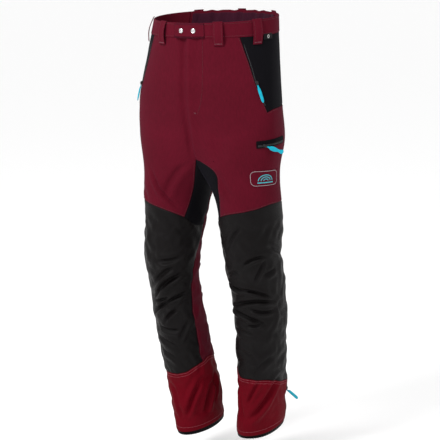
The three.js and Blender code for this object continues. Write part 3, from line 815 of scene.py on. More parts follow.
# %% Lower panels
for name, side in SIDES.items():
    front_seam = gusset_front[side]
    gusset_foot = foot_of(side, front_seam, 480)

    def gusset_edge(drop, front_seam=front_seam):
        """The gusset's own front edge, 5 degrees under the front panel."""
        return front_seam(drop) - 5

    def gusset_end(angle):
        """The gusset's lower edge, a lap below the knee's top seam."""
        return knee_top(angle) + LAP

    def gusset_hidden(angle, drop, front_seam=front_seam):
        """Where the front panel lies over the gusset: before the front seam's angle."""
        return (angle < front_seam(drop)) & (angle < 180)

    inner_rows = spread(gusset_end(180) - FORK)
    sewn_panel(
        f"crotch_gusset_{name}", side,
        [((gusset_edge, middle_front, GUSSET_TOP - 2, FORK), spread(70), spread(FORK - GUSSET_TOP)),
         ((gusset_edge, 180, FORK, gusset_end), spread(90), inner_rows),
         ((180, GUSSET_BACK + 4, FORK, gusset_end), spread(50), inner_rows)],
        stretch_black,
        under=[(upright(side, front_seam, GUSSET_TOP, gusset_foot), gusset_hidden),
               (upright(side, GUSSET_BACK, FORK, SEAT_FOOT), lambda angle, drop: angle > GUSSET_BACK),
               (level(side, knee_top, front_seam(gusset_foot), 210),
                lambda angle, drop: drop > knee_top(angle))],
        out=-0.1,
    )
    sewn_panel(
        f"knee_panel_{name}", side,
        [((OUTER_BACK - 4, lambda drop: knee_inner(drop) + 4, lambda angle: knee_top(angle) - LAP,
           lambda angle: cuff_top(angle) + LAP), spread(330), spread(480))],
        ripstop,
        under=[(level(side, knee_top, OUTER_BACK, front_seam(gusset_foot)),
                lambda angle, drop: drop < knee_top(angle)),
               (level(side, cuff_top, OUTER_BACK, 185), lambda angle, drop: drop > cuff_top(angle)),
               (upright(side, knee_inner, SEAT_FOOT, cuff_top(172)),
                lambda angle, drop: angle > knee_inner(drop)),
               (upright(side, OUTER_BACK, knee_top(OUTER_BACK), cuff_top(OUTER_BACK)),
                lambda angle, drop: angle < OUTER_BACK)],
    )
    sewn_panel(
        f"back_leg_{name}", side,
        [((knee_inner, 360 + OUTER_BACK, SEAT_FOOT + 0.5, lambda angle: cuff_top(angle) + LAP),
          spread(190), spread(450))],
        softshell,
        over=[upright(side, knee_inner, SEAT_FOOT, cuff_top(172)),
              upright(side, OUTER_BACK, SEAT_FOOT, cuff_top(OUTER_BACK))],
        under=[(level(side, cuff_top, 165, 360 + OUTER_BACK), lambda angle, drop: drop > cuff_top(angle))],
    )
    opening = ANKLE_OPENING / 2
    sewn_panel(
        f"cuff_{name}", side,
        [((ANKLE_ANGLE - 360 + opening, ANKLE_ANGLE - opening, cuff_top, HEM), spread(400), spread(150))],
        crimson,
        over=[level(side, cuff_top, ANKLE_ANGLE - 360 + opening, ANKLE_ANGLE - opening),
              upright(side, ANKLE_ANGLE - 360 + opening, cuff_top(ANKLE_ANGLE - 360), HEM),
              upright(side, ANKLE_ANGLE - opening, cuff_top(ANKLE_ANGLE), HEM),
              level(side, HEM, ANKLE_ANGLE - 360 + opening, ANKLE_ANGLE - opening)],
        thickness=1.6,
    )
print("lower panels made")

# %% [markdown]
# ## Trims: solids instead of sheets
# Bands, loops, sliders and pulls are small solids. Three ways of making them cover all of those here: a
# ring swept over the cloth, a profile swept along a path, and a row of cross-sections like the ribs of a
# boat.

# %% Solid helpers
def rounded_profile(width, thickness, radius, long_steps=1):
    """Points round a rectangle with rounded corners: how far across, and how far through."""
    turn = np.radians([0, 30, 60, 90])
    across, through_it = width / 2 - radius, thickness / 2 - radius
    c, s = radius * np.cos(turn), radius * np.sin(turn)
    inner = np.linspace(across, -across, long_steps + 1)[1:-1]
    flat = np.full(inner.shape, through_it + radius)
    w = [across + c, inner, -across - c[::-1], -across - c, -inner, across + c[::-1]]
    t = [through_it + s, flat, through_it + s[::-1], -through_it - s, -flat, -through_it - s[::-1]]
    return np.concatenate(w), np.concatenate(t)


def solid_faces(points, closed=False):
    """Faces of a tube of rings, with a cap at each end unless the tube is closed on itself, looking
    outwards."""
    rings, around = points.shape[:2]
    flat = points.reshape(-1, 3)
    if closed:
        flat_rings = np.arange(rings * around).reshape(rings, around)
        ahead = np.roll(flat_rings, -1, 0)
        corners = [flat_rings, np.roll(flat_rings, -1, 1), np.roll(ahead, -1, 1), ahead]
        faces = np.stack(corners, -1).reshape(-1, 4)
    else:
        faces = grid_faces(rings, around, closed=True)
    centres = np.repeat(points.mean(1), around, 0)[:len(faces)]
    turned = outward(flat, faces, centres)
    quads = turned.tolist()
    if closed:
        return quads
    first, last = list(range(around)), list(range((rings - 1) * around, rings * around))
    flipped = turned[0, 0] != faces[0, 0] or turned[0, 1] != faces[0, 1]
    return quads + ([first, last[::-1]] if flipped else [first[::-1], last])


def joined(solids):
    """Several solids, each (points, faces), as one set of points and faces."""
    points, faces, count = [], [], 0
    for solid_points, solid in solids:
        flat = np.asarray(solid_points).reshape(-1, 3)
        points.append(flat)
        faces += [[corner + count for corner in face] for face in solid]
        count += len(flat)
    return np.concatenate(points), faces


def on_cloth(side, angle, drop, out):
    """A solid whose rings are given by angle, drop and out, all of them of one shape: rings by points
    round."""
    points = cloth(side, *np.broadcast_arrays(angle, drop, out))
    return points, solid_faces(points)


def along(path, normal, profile, closed=False):
    """A profile swept along a path: across it at right angles to the normal, and through along the
    normal."""
    path, normal = np.asarray(path, float), np.broadcast_to(np.asarray(normal, float), np.shape(path))
    ahead = np.roll(path, -1, 0) - np.roll(path, 1, 0) if closed else np.gradient(path, axis=0)
    side_way = np.cross(ahead, normal)
    side_way /= np.linalg.norm(side_way, axis=1, keepdims=True)
    w, t = profile
    points = path[:, None] + side_way[:, None] * w[None, :, None] + normal[:, None] * t[None, :, None]
    return points, solid_faces(points, closed)


print("sweeps ready")

# %% [markdown]
# ### Ribs, and a place on the cloth
# Sliders and grips swell and narrow along their length, so a few cross-sections joined by smooth curves are
# enough. They are made flat, and then stood on the cloth by three directions: across, up and straight out.

# %% Ribs and places
def ribs(stations, rings, around=16, power=0.7):
    """Cross-sections along Y, as in a boat: each station is y, half width, half thickness and middle
    height, and smooth curves join the stations. power below 1 makes the sections squarer than an oval."""
    stations = np.asarray(stations, float)
    stations = stations[np.argsort(stations[:, 0])]
    y = np.linspace(stations[0, 0], stations[-1, 0], rings)
    turn = np.arange(around) * 2 * np.pi / around
    c = np.sign(np.cos(turn)) * np.abs(np.cos(turn)) ** power
    s = np.sign(np.sin(turn)) * np.abs(np.sin(turn)) ** power
    wide, thick, middle = (through(stations, y, k)[:, None] for k in (1, 2, 3))
    points = np.stack(np.broadcast_arrays(wide * c, y[:, None], middle + thick * s), -1)
    return points, solid_faces(points)


def standing(side, angle, drop, out):
    """A place on the cloth and its three directions: across, up along the cloth, and straight out of it."""
    here = skin(side, angle, drop, out)
    round_it = skin(side, angle + 1, drop, out) - skin(side, angle - 1, drop, out)
    fall = skin(side, angle, drop + 2, out) - skin(side, angle, drop - 2, out)
    normal = np.cross(round_it, fall)
    normal *= np.sign(normal @ (skin(side, angle, drop, out + 5) - here)) / np.linalg.norm(normal)
    up = -fall / np.linalg.norm(fall)
    return here, np.stack([np.cross(up, normal), up, normal])


def placed(points, place, lean=0.0, lift=0.0, hang=0.0):
    """Moves points made flat, with Y up and Z out, to a place on the cloth: raised by lift about their top,
    hung below by hang, and leaned to one side, angles in degrees."""
    x, y, z = np.moveaxis(points, -1, 0)
    a, b = math.radians(lift), math.radians(lean)
    y, z = y * math.cos(a) + z * math.sin(a) - hang, z * math.cos(a) - y * math.sin(a)
    x, y = x * math.cos(b) - y * math.sin(b), x * math.sin(b) + y * math.cos(b)
    here, directions = place
    return here + np.stack([x, y, z], -1) @ directions


print("places ready")

# %% [markdown]
# ### Many small rods
# A stitch and a zip tooth are the same shape: a short rod whose ends go down into the cloth. Instancing
# would make thousands of objects, so all rods of a row are worked out at once as one mesh, with thirty
# points each.

# %% Stitches and teeth
def beads(starts, ends, normals, radius, dip=0.35):
    """Many short rods with thin ends, as stitches or coil teeth: five rings of six points each."""
    share = np.array([0, 0.16, 0.5, 0.84, 1])
    swell = np.array([0.2, 0.85, 1, 0.85, 0.2]) * radius
    sink = np.array([-1, -0.2, 0.25, -0.2, -1]) * dip
    ahead = (ends - starts) / np.linalg.norm(ends - starts, axis=1, keepdims=True)
    side_way = np.cross(ahead, normals)
    turn = np.arange(6) * np.pi / 3
    middle = starts[:, None] + (ends - starts)[:, None] * share[None, :, None]
    middle = middle + normals[:, None] * sink[None, :, None]
    ring = side_way[:, None] * np.cos(turn)[None, :, None] + normals[:, None] * np.sin(turn)[None, :, None]
    points = middle[:, :, None] + ring[:, None] * swell[None, :, None, None]
    one = solid_faces(points[0])
    count = len(share) * len(turn)
    faces = [[corner + k * count for corner in face] for k in range(len(points)) for face in one]
    return points.reshape(-1, 3), faces


def on_surface(side, angle, drop, out):
    """Points along a path on the cloth and the directions straight out of it there."""
    angle, drop = np.broadcast_arrays(np.asarray(angle, float), np.asarray(drop, float))
    points = cloth(side, angle, drop, out)
    normals = np.cross(skin(side, angle + 1, drop) - skin(side, angle - 1, drop),
                       skin(side, angle, drop + 2) - skin(side, angle, drop - 2))
    outside = skin(side, angle, drop, 5) - skin(side, angle, drop)
    normals *= np.sign((normals * outside).sum(-1, keepdims=True))
    return points, normals / np.linalg.norm(normals, axis=-1, keepdims=True)


def stitches(side, angle, drop, out=0.1, pitch=3.6, radius=0.4):
    """A row of machine stitches along a path on the cloth, with the gaps a needle leaves."""
    points, normals = on_surface(side, angle, drop, out)
    run = np.concatenate([[0], np.cumsum(np.linalg.norm(np.diff(points, axis=0), axis=1))])
    count = max(int(run[-1] / pitch), 1)
    middle = (np.arange(count) + 0.5) * run[-1] / count
    at = [np.stack([np.interp(middle + shift * pitch, run, points[:, k]) for k in range(3)], -1)
          for shift in (-0.38, 0.38)]
    way = np.stack([np.interp(middle, run, normals[:, k]) for k in range(3)], -1)
    return beads(at[0], at[1], way / np.linalg.norm(way, axis=1, keepdims=True), radius)


def add_solids(name, solids, material, body="garment", replaces=()):
    """One piece from several solids."""
    points, faces = joined(solids)
    return add_piece(name, points, faces, material, body, replaces)


print("solid helpers ready")

# %% [markdown]
# ### Waistband
# A folded band of the shell cloth in three lengths. Elastic is stretched into the back length while it is
# sewn, and when it lets go it gathers the band into upright folds.

# %% Waistband, its lining and the elastic
BAND_OUT, BAND_CLOTH = 1.2, 3.0
BACK_REACH = 50
WAIST_HALF = LEVELS[0][1]


def angle_across(x):
    """The angle at the waist's front for a distance from the middle plane."""
    return math.degrees(math.acos(x / WAIST_HALF))


def gathers(angle):
    """Upright folds of the gathered back, fading at the ends of the elastic."""
    inside = smooth((BACK_REACH - 2 - np.abs((angle - 270 + 180) % 360 - 180)) / 8)
    return inside * (1.3 * np.sin(np.radians(angle * 27)) + 0.7 * np.sin(np.radians(angle * 43 + 30)))


def band_piece(name, side, first, last, steps, material=softshell, out=BAND_OUT,
               thickness=BAND_CLOTH, top=0.0, bottom=BAND):
    """A length of band: a rounded flat ring swept from one angle to the other."""
    across, through_it = rounded_profile(bottom - top, thickness, min(1.3, thickness / 2 - 0.05), 12)
    angle = np.linspace(first, last, steps)[:, None]
    drop = (top + bottom) / 2 - across[None, :]
    stitched = -0.3 * hump(drop - STITCH_IN, 1.0) - 0.3 * hump(drop - BAND + STITCH_IN, 1.0)
    wave = gathers(angle) * (0.5 + 0.5 * np.cos((drop - 20) / 20 * np.pi / 2) ** 2)
    drop = drop - 0.6 * gathers(angle * 0.93 + 20) * smooth((drop - 30) / -30)
    centre = out - thickness / 2 + wave + np.where(through_it > 0, stitched, 0)
    points, faces = on_cloth(side, angle, drop, centre + through_it[None, :])
    return add_piece(name, points.reshape(-1, 3), faces, material, replaces=(name,),
                     uv=laid(angle * 2.4, drop))


tab_reach = 35
band_side = BACK_REACH - 90 + 0.1
band_piece("waistband_left", 1, band_side, angle_across(tab_reach + 1), 80)
band_piece("waistband_right", -1, band_side, angle_across(2 - tab_reach), 100)
band_piece("waistband_back", 1, 270 - BACK_REACH, 270 + BACK_REACH, 300)
band_piece("waist_elastic", 1, 272 - BACK_REACH, 268 + BACK_REACH, 260, elastic_web,
           BAND_OUT - BAND_CLOTH - 0.9, 1.4, 6, BAND - 6)
print("waistband", round(2 * math.pi * WAIST_HALF * 0.85), "mm round")

# %% [markdown]
# ### Waist tab
# The tab crosses from left to right over the band. It is a folded strip with rounded corners at its free
# end, swept along the waist, and its stitched hem is a shallow groove that follows the edge.

# %% The tab
TAB_CLOTH, TAB_OUT = 2.2, 5.6
STUD_CENTRE, STUD_SPACING, STUD_RADIUS = 3.0, 34.0, 5.8
across, through_it = rounded_profile(1.0, TAB_CLOTH, TAB_CLOTH / 2 - 0.1, 14)
tab_x = np.linspace(tab_reach + 11, -tab_reach, 60)[:, None]
corner = 6.0
to_end = np.clip(tab_x + tab_reach, 0, corner)
half_drop = BAND / 2 + 0.4 - corner + np.sqrt(corner**2 - (corner - to_end) ** 2)
half_drop = np.where(tab_x > tab_reach + 8, BAND / 2 + 0.4, half_drop)
tab_drop = BAND / 2 + 0.5 + 2 * (half_drop - 0.5) * across[None, :]
hem_line = -0.35 * hump(np.abs(tab_drop - BAND / 2) - half_drop + 3.2, 0.8)
to_root = 2.2 * smooth((tab_x - 24) / 12)
tab_out = TAB_OUT - to_root - TAB_CLOTH / 2 + through_it[None, :] + np.where(through_it > 0, hem_line, 0)
tab_angle = np.degrees(np.arccos(tab_x / WAIST_HALF))
tab_points, tab_faces = on_cloth(1, tab_angle, tab_drop, tab_out)
add_piece("waist_tab", tab_points.reshape(-1, 3), tab_faces, softshell, "waist_tab",
          ("waist_tab",), uv=laid(tab_x, tab_drop))


print("waist tab", round(2 * tab_reach + 11), "mm long")

# %% [markdown]
# ### Snaps
# Each cap is a pressed dome in a ring, and the stud under it a stepped post, turned like a pot on a wheel:
# one outline spun round its axis.

# %% Caps and studs
def spun(profile, steps=28):
    """An outline of (radius, height) rows spun round Z."""
    turn = np.arange(steps) * 2 * np.pi / steps
    profile = np.asarray(profile, float)
    ring = np.stack([np.cos(turn), np.sin(turn)], -1)
    points = np.concatenate([profile[:, None, :1] * ring[None], np.broadcast_to(
        profile[:, None, 1:], (len(profile), steps, 1))], -1)
    return points, solid_faces(points)


cap_outline = [(0.3, 0), (1, 0), (1.03, 0.5), (0.95, 1.1), (0.84, 1.15), (0.8, 0.85), (0.76, 0.9),
               (0.68, 1.5), (0.5, 1.95), (0.28, 2.15), (0.05, 2.2)]
stud_outline = [(0.3, 0), (0.8, 0), (0.8, 0.5), (0.45, 0.7), (0.45, 1.1), (0.1, 1.15)]
for index, step in enumerate((-1, 1)):
    angle = angle_across(STUD_CENTRE + step * STUD_SPACING / 2)
    for part, outline, out, body in (("cap", cap_outline, TAB_OUT + 0.3, "waist_tab"),
                                     ("stud", stud_outline, BAND_OUT + 0.3, "garment")):
        points, faces = spun([(r * STUD_RADIUS, h) for r, h in outline])
        node = f"snap_{part}_{index + 1}"
        add_piece(node, placed(points, standing(1, angle, BAND / 2, out)).reshape(-1, 3), faces, steel,
                  body, (node,))

print("two snaps made")

# %% [markdown]
# ### Belt loops
# Seven folded strips stand off the band so that a belt passes under them. A half sine wave lifts the strip
# in the middle and lets both ends touch the cloth; a dense bar tack holds the lower end.

# %% Loops
LOOP_WIDTH, LOOP_CLOTH, LOOP_START, LOOP_END, LOOP_LIFT = 24.0, 1.6, -3.0, 60.0, 6.0
LOOP_ROW = LOOP_WIDTH / 2 - 3.5
LOOPS = [("front", 62), ("side", 25), ("back", -48)]


def loop_lift(drop):
    """How far a belt loop's outer face stands off the garment, touching it at both ends."""
    return BAND_OUT + 0.5 + LOOP_CLOTH + LOOP_LIFT * np.sin(np.pi * np.clip(
        (drop - LOOP_START) / (LOOP_END - LOOP_START), 0, 1))


def belt_loop(name, side, angle):
    """A folded strip with two rows of stitching, bar-tacked at its lower end."""
    pace = np.linalg.norm(skin(side, angle + 0.5, 0.0) - skin(side, angle - 0.5, 0.0))
    across, through_it = rounded_profile(LOOP_WIDTH, LOOP_CLOTH, 0.75, 16)
    drop = np.linspace(LOOP_START, LOOP_END, 40)[:, None]
    groove = -0.3 * hump(np.abs(across) - LOOP_ROW, 0.8) * (through_it > 0)
    out = loop_lift(drop) - LOOP_CLOTH / 2 + (through_it + groove)[None, :]
    points, faces = on_cloth(side, angle + across[None, :] / pace, drop, out)
    add_piece(name, points.reshape(-1, 3), faces, softshell, replaces=(name,),
              uv=laid(across[None, :], drop))
    row_drop = np.linspace(LOOP_START + 4, LOOP_END - 3, 30)
    rows = [stitches(side, angle + edge / pace, row_drop, loop_lift(row_drop) - 0.1)
            for edge in (-LOOP_ROW, LOOP_ROW)]
    tacks = [stitches(side, angle + np.linspace(-9, 9, 12) / pace, tack, loop_lift(tack) + 0.1, 1.3, 0.5)
             for tack in (LOOP_END - 4.0, LOOP_END - 5.6)]
    add_solids(f"{name}_stitches", rows, thread_dark)
    add_solids(f"{name}_bartack", tacks, thread_pink)


for name, side in SIDES.items():
    for place, angle in LOOPS:
        belt_loop(f"belt_loop_{place}_{name}", side, angle)
belt_loop("belt_loop_centre_back", 1, 270)
print(2 * len(LOOPS) + 1, "loops")

# %% [markdown]
# ### Zips
# A nylon zip is a coil sewn to a tape. Only a row of small bars is seen, so that is what gets modelled, on
# a thin tape that lies a little below the cloth's face.

# %% Tape and coil
def zip_strip(name, side, first, last, top, bottom, out, thickness):
    """Tape between two edges that depend on the drop, and its coil down the middle."""
    first, last = as_curve(first), as_curve(last)
    drop = np.linspace(top, bottom, 40)
    a, b = first(drop)[:, None], last(drop)[:, None]
    across, through_it = rounded_profile(1, thickness, thickness / 2 - 0.05, 2)
    tape = on_cloth(side, (a + b) / 2 + across * (b - a), drop[:, None],
                    out - thickness / 2 + through_it * np.ones_like(a))
    add_solids(name, [tape], tape_black, replaces=(name,))
    teeth = np.arange(top + 2, bottom - 1, 1.7)
    middle = (first(teeth) + last(teeth)) / 2
    left, normals = on_surface(side, middle - 0.9, teeth, out + 0.25)
    right, _ = on_surface(side, middle + 0.9, teeth + 0.5, out + 0.25)
    add_solids(f"{name}_coil", [beads(left, right, normals, 0.62, 0.5)], coil_nylon)


print("zip maker ready")

# %% [markdown]
# ### Sliders and grips
# A slider is a small metal casting with a bridge over it. The grip hangs from the bridge by a cord loop and
# swings, so it is a piece of its own that rides on another body. Ribs across the grip keep gloves from
# slipping.

# %% Sliders and pulls
SLIDER = [(-6.2, 0.8, 0.7, 1.5), (-5.2, 1.3, 0.9, 1.5), (-3.8, 2.9, 1.4, 1.5), (0, 3.3, 1.5, 1.5),
          (2.5, 3.9, 1.5, 1.5), (4, 2.6, 1.3, 1.4), (4.6, 1.0, 0.8, 1.3)]
LONG_GRIP = [(0, 1.0, 0.7, 1.3), (-3, 1.6, 1.0, 1.4), (-8, 3.1, 1.5, 1.9), (-15, 3.8, 1.7, 2.1),
             (-32, 3.5, 1.5, 2.1), (-39, 2.8, 1.2, 1.9), (-42.5, 0.7, 0.5, 1.7)]
WIDE_GRIP = [(0, 1.2, 0.8, 1.3), (-4, 2.4, 1.2, 1.5), (-9, 5.0, 1.5, 2.1), (-18, 5.6, 1.6, 2.3),
             (-29, 3.4, 1.5, 2.3), (-36, 5.0, 1.3, 2.2), (-40, 5.4, 1.1, 2.2), (-42, 1.5, 0.5, 2.0)]
ROUND_GRIP = [(0, 1.2, 0.9, 1.3), (-3, 2.2, 1.6, 1.8), (-7, 3.6, 3.0, 3.2), (-20, 3.9, 3.4, 3.6),
              (-33, 3.9, 3.3, 3.6), (-37, 3.4, 2.8, 3.4), (-39, 0.9, 0.8, 3.2)]
PULL_HANG = 9 / 2 + 2.6


def slider_and_pull(name, side, angle, drop, out, lean, lift=0.0, grip=LONG_GRIP):
    """A slider with its bridge, and a ribbed grip hung from the bridge by a loop of cord. The slider rides
    on the runner's body and the pull on the tag's."""
    place = standing(side, angle, drop, out)
    runner, tag = RUNNERS[name]
    arch_y = np.linspace(3.2, -3.6, 9)
    arch = np.stack([0 * arch_y, arch_y, 2.8 + 1.5 * np.sin(np.linspace(0, np.pi, 9))], -1)
    body, bridge = ribs(SLIDER, 18), along(arch, (1, 0, 0), rounded_profile(0.9, 2.2, 0.4))
    add_solids(f"{name}_slider", [(placed(solid, place, lean), faces) for solid, faces in (body, bridge)],
               dark_metal, runner, (f"{name}_slider",))
    grip_points, grip_faces = ribs(grip, 70)
    length = grip[-1][0]
    y, z = grip_points[..., 1], grip_points[..., 2]
    within = smooth((y - 0.9 * length) / 4) * smooth((0.35 * length - y) / 4)
    ribbed = 0.25 * np.sin(y * 2 * np.pi / 3.2) * within
    grip_points[..., 2] = z + np.sign(z - z.mean(1, keepdims=True)) * ribbed
    turn = np.linspace(0, 2 * np.pi, 24, endpoint=False)
    cord_path = np.stack([1.4 * np.cos(turn), -1.1 + 2.6 * np.sin(turn), 1.5 + 0.3 * np.sin(turn)], -1)
    cord = along(cord_path, (0, 0, 1), rounded_profile(1.0, 1.0, 0.45), closed=True)
    add_solids(f"{name}_pull", [(placed(solid, place, lean, lift, PULL_HANG), faces)
                                for solid, faces in ((grip_points, grip_faces), cord)],
               teal_rubber, tag, (f"{name}_pull",))


RUNNERS = {"thigh": ("thigh_runner", "thigh_tag")}
for name, side in SIDES.items():
    for place in ("hand", "ankle"):
        RUNNERS[f"{place}_{name}"] = (f"{place}_runner_{name}", f"{place}_tag_{name}")

HAND_SLIDER = {"left": down(0.375), "right": down(0.41)}
for name, side in SIDES.items():
    zip_strip(f"hand_zip_{name}", side, lambda drop: hip_front(drop) - 3.6,
              lambda drop: hip_front(drop) - 0.6, down(0.14), down(0.51), -0.8, 1.4)
    slider_drop = HAND_SLIDER[name]
    slider_and_pull(f"hand_{name}", side, hip_front(slider_drop) - 1.8, slider_drop, 1.2, side * 17)
    zip_strip(f"ankle_zip_{name}", side, ANKLE_ANGLE - 2.4, ANKLE_ANGLE + 2.4,
              ANKLE_ZIP_TOP, HEM - 2, -0.8, 1.4)
    slider_and_pull(f"ankle_{name}", side, ANKLE_ANGLE, ANKLE_ZIP_TOP + 14, 0.8, 0, 48, ROUND_GRIP)
print(2 * len(SIDES), "zips and sliders on hand pockets and ankles")

# %% [markdown]
# ### Thigh pocket
# The thigh pocket is on the left leg only: a black welt with a zip along it. Both are flat strips between
# two curves that go round the leg, with a stitched groove beside each edge.

# %% Welt and thigh zip
WELT_HEIGHT, WELT_OUT = 18.0, 2.1
THIGH_ZIP = down(0.735)
thigh_drop = curve((-30, THIGH_ZIP - 8), (-14, THIGH_ZIP - 6), (36, THIGH_ZIP + 3))


def flat_patch(name, first, last, top, bottom, out, thickness, material, corner=0.5):
    """A sewn-on strip on the left leg whose upper and lower edges depend on the angle, with rounded
    corners."""
    angle = np.linspace(first, last, 60)[:, None]
    across, through_it = rounded_profile(1, thickness, thickness / 2 - 0.05, 10)
    high, low = as_curve(top)(angle), as_curve(bottom)(angle)
    to_end = np.clip(np.minimum(angle - first, last - angle) * MM_PER_DEGREE, 0, corner)
    inset = corner - np.sqrt(np.maximum(corner**2 - (corner - to_end) ** 2, 0.01))
    drop = (high + low) / 2 - across * (low - high - 2 * inset)
    groove = -0.3 * hump(np.abs(drop - (high + low) / 2) - (low - high) / 2 + 1.8, 0.7)
    stand = out - thickness / 2 + through_it + np.where(through_it > 0, groove, 0)
    points, faces = on_cloth(1, angle, drop, stand)
    add_piece(name, points.reshape(-1, 3), faces, material, replaces=(name,),
              uv=laid(angle * MM_PER_DEGREE, drop))


flat_patch("thigh_welt", -15, 36, lambda a: thigh_drop(a) - WELT_HEIGHT / 2,
           lambda a: thigh_drop(a) + WELT_HEIGHT / 2, WELT_OUT, 1.6, stretch_black, 1.0)
flat_patch("thigh_zip", -13, 34, lambda a: thigh_drop(a) + 1, lambda a: thigh_drop(a) + 6,
           WELT_OUT + 1.0, 0.9, tape_black, 0.5)
teeth = np.arange(-12.0, 33.0, 1.25)
upper, up_way = on_surface(1, teeth, thigh_drop(teeth) + 2.7, WELT_OUT + 1.3)
lower, _ = on_surface(1, teeth + 0.4, thigh_drop(teeth) + 4.4, WELT_OUT + 1.3)
add_solids("thigh_zip_coil", [beads(upper, lower, up_way, 0.62, 0.5)], coil_nylon)
slider_and_pull("thigh", 1, 25, float(thigh_drop(25)) + 3.5, WELT_OUT + 2.1, 68, 0, WIDE_GRIP)

print("thigh pocket", round(51 * MM_PER_DEGREE), "mm wide")

# %% [markdown]
# ### Printed badge and woven label
# The badge is print on a thin patch. It shows three growth rings of a tree over a bar, which belong to no
# maker. Print has a thickness that catches light, so its lines are flat profiles swept over the cloth.

# %% Badge and label
BADGE_TOP, BADGE_FOOT, BADGE_OUT = down(0.898), down(0.993), 1.2
flat_patch("leg_patch", -14, 47, BADGE_TOP, BADGE_FOOT, BADGE_OUT, 0.8, softshell, 8)


def printed_line(angle, drop, width, closed=False, out=BADGE_OUT):
    """A thin raised line of print along a path on the left leg."""
    points, normals = on_surface(1, angle, drop, out + 0.05)
    return along(points, normals, rounded_profile(width, 0.3, 0.12), closed)


badge_middle, badge_drop = 18.0, (BADGE_TOP + BADGE_FOOT) / 2
frame_x, frame_y = rounded_profile(54 * MM_PER_DEGREE, BADGE_FOOT - BADGE_TOP - 3.5, 10.0, 24)
badge_frame = printed_line(badge_middle + frame_x / MM_PER_DEGREE, badge_drop + frame_y, 1.2, True)
add_solids("badge_frame", [badge_frame], grey_print)
arch = np.radians(np.linspace(180, 360, 30))
rings = [printed_line(badge_middle + 1.35 * r * np.cos(arch) / MM_PER_DEGREE,
                      badge_drop + 6 + r * np.sin(arch), 2.2) for r in (4.5, 9.5, 14.5)]
bar = np.linspace(-22, 22, 14)
rings.append(printed_line(badge_middle + bar / MM_PER_DEGREE, badge_drop + 10.5 + 0 * bar, 2.6))
add_solids("badge_rings", rings, teal_print)

LABEL_TOP, LABEL_HEIGHT, RING_RADIUS = BAND - 3, 13, 3.6
turn = np.radians(np.linspace(0, 360, 25)[:-1])
flat_patch("hip_label", 4, 17, LABEL_TOP, LABEL_TOP + LABEL_HEIGHT, BAND_OUT + 1.2, 0.8, label_weave,
           0.6)
label_middle = LABEL_TOP + LABEL_HEIGHT / 2
label_circle = printed_line(10.5 + RING_RADIUS * np.cos(turn) / 2.9,
                            label_middle + RING_RADIUS * np.sin(turn), 1.2, True, BAND_OUT + 1.2)
add_solids("label_ring", [label_circle], white_print)
print("badge", round(61 * MM_PER_DEGREE), "by", round(BADGE_FOOT - BADGE_TOP), "mm")

# %% [markdown]
# ### What is inside
# Saw protection is several loose layers of knitted fibre that jam the saw's sprocket. Here each pad is one
# padded piece, 5 mm thick. Pocket bags are thin mesh. Knit gaiters close the hems on
# the boots.

# %% Gaiters, saw pads, pocket bags
PAD_THICKNESS = 5.0
for name, side in SIDES.items():
    gaiter_angle, gaiter_drop = np.meshgrid(np.linspace(0, 360, 241)[:-1],
                                            np.linspace(below(0.9), HEM + 9, 60))
    ribbing = 0.7 * np.sin(np.radians(gaiter_angle * 60))
    rolls = 1.6 * np.sin(gaiter_drop / 9 * np.pi + 0.8 * np.sin(np.radians(gaiter_angle * 3))) * smooth(
        (gaiter_drop - below(0.93)) / 30)
    sag = 5 * smooth((gaiter_drop - HEM + 20) / 25) * (0.5 + 0.5 * np.sin(np.radians(gaiter_angle - 160)))
    knit = cloth(side, gaiter_angle, gaiter_drop + sag, -6.2 + ribbing + rolls)
    faces = grid_faces(*gaiter_angle.shape, closed=True)
    faces = faces if side < 0 else faces[:, ::-1]
    gaiter = add_piece(f"hem_gaiter_{name}", knit.reshape(-1, 3), faces.tolist(), gaiter_knit,
                       replaces=(f"hem_gaiter_{name}",),
                       uv=laid(gaiter_angle * 1.2, gaiter_drop))
    thicken(gaiter, 1.6)

    def pad_inner(drop):
        """The pad's inner edge: 158 degrees, or 14 short of the middle plane where that comes first."""
        return np.minimum(158, middle_front(drop) - 14)

    pad = sewn_panel(f"saw_pad_{name}", side,
                     [((-25, pad_inner, down(0.62), below(0.8)), spread(340, 4), spread(680, 4))],
                     fibre, out=-13, thickness=PAD_THICKNESS)
    sewn_panel(f"hand_pocket_bag_{name}", side,
               [((22, 66, down(0.15), down(0.57)), spread(130, 4), spread(170, 4))],
               pocket_mesh, out=-7.4, thickness=0.8)
sewn_panel("thigh_pocket_bag", 1, [((-18, 34, THIGH_ZIP + 8, below(0.03)), spread(80, 4), spread(120, 4))],
           pocket_mesh, out=-4.4, thickness=0.8)

print("gaiters, pads and bags made")

# %% [markdown]
# ### Inside the fly
# Behind the left front's edge lie the zip and a shield of shell cloth. They are nearly flat and nearly
# hidden, so they take their corners from the CAD boxes of the same pieces.

# %% Fly
fly_low, fly_high = (np.array(corner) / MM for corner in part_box("fly_shield"))
zip_low, zip_high = (np.array(corner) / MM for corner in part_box("fly_zip"))


def slab(low, high, radius=0.4):
    """A flat upright piece between two corners, with rounded edges."""
    size, centre = high - low, (low + high) / 2
    z = np.linspace(low[2], high[2], 30)
    w, t = rounded_profile(size[0], size[1], min(radius, size[1] / 2 - 0.05), 8)
    points = np.stack(np.broadcast_arrays(centre[0] + w[None, :], centre[1] + t[None, :], z[:, None]), -1)
    return points, solid_faces(points)


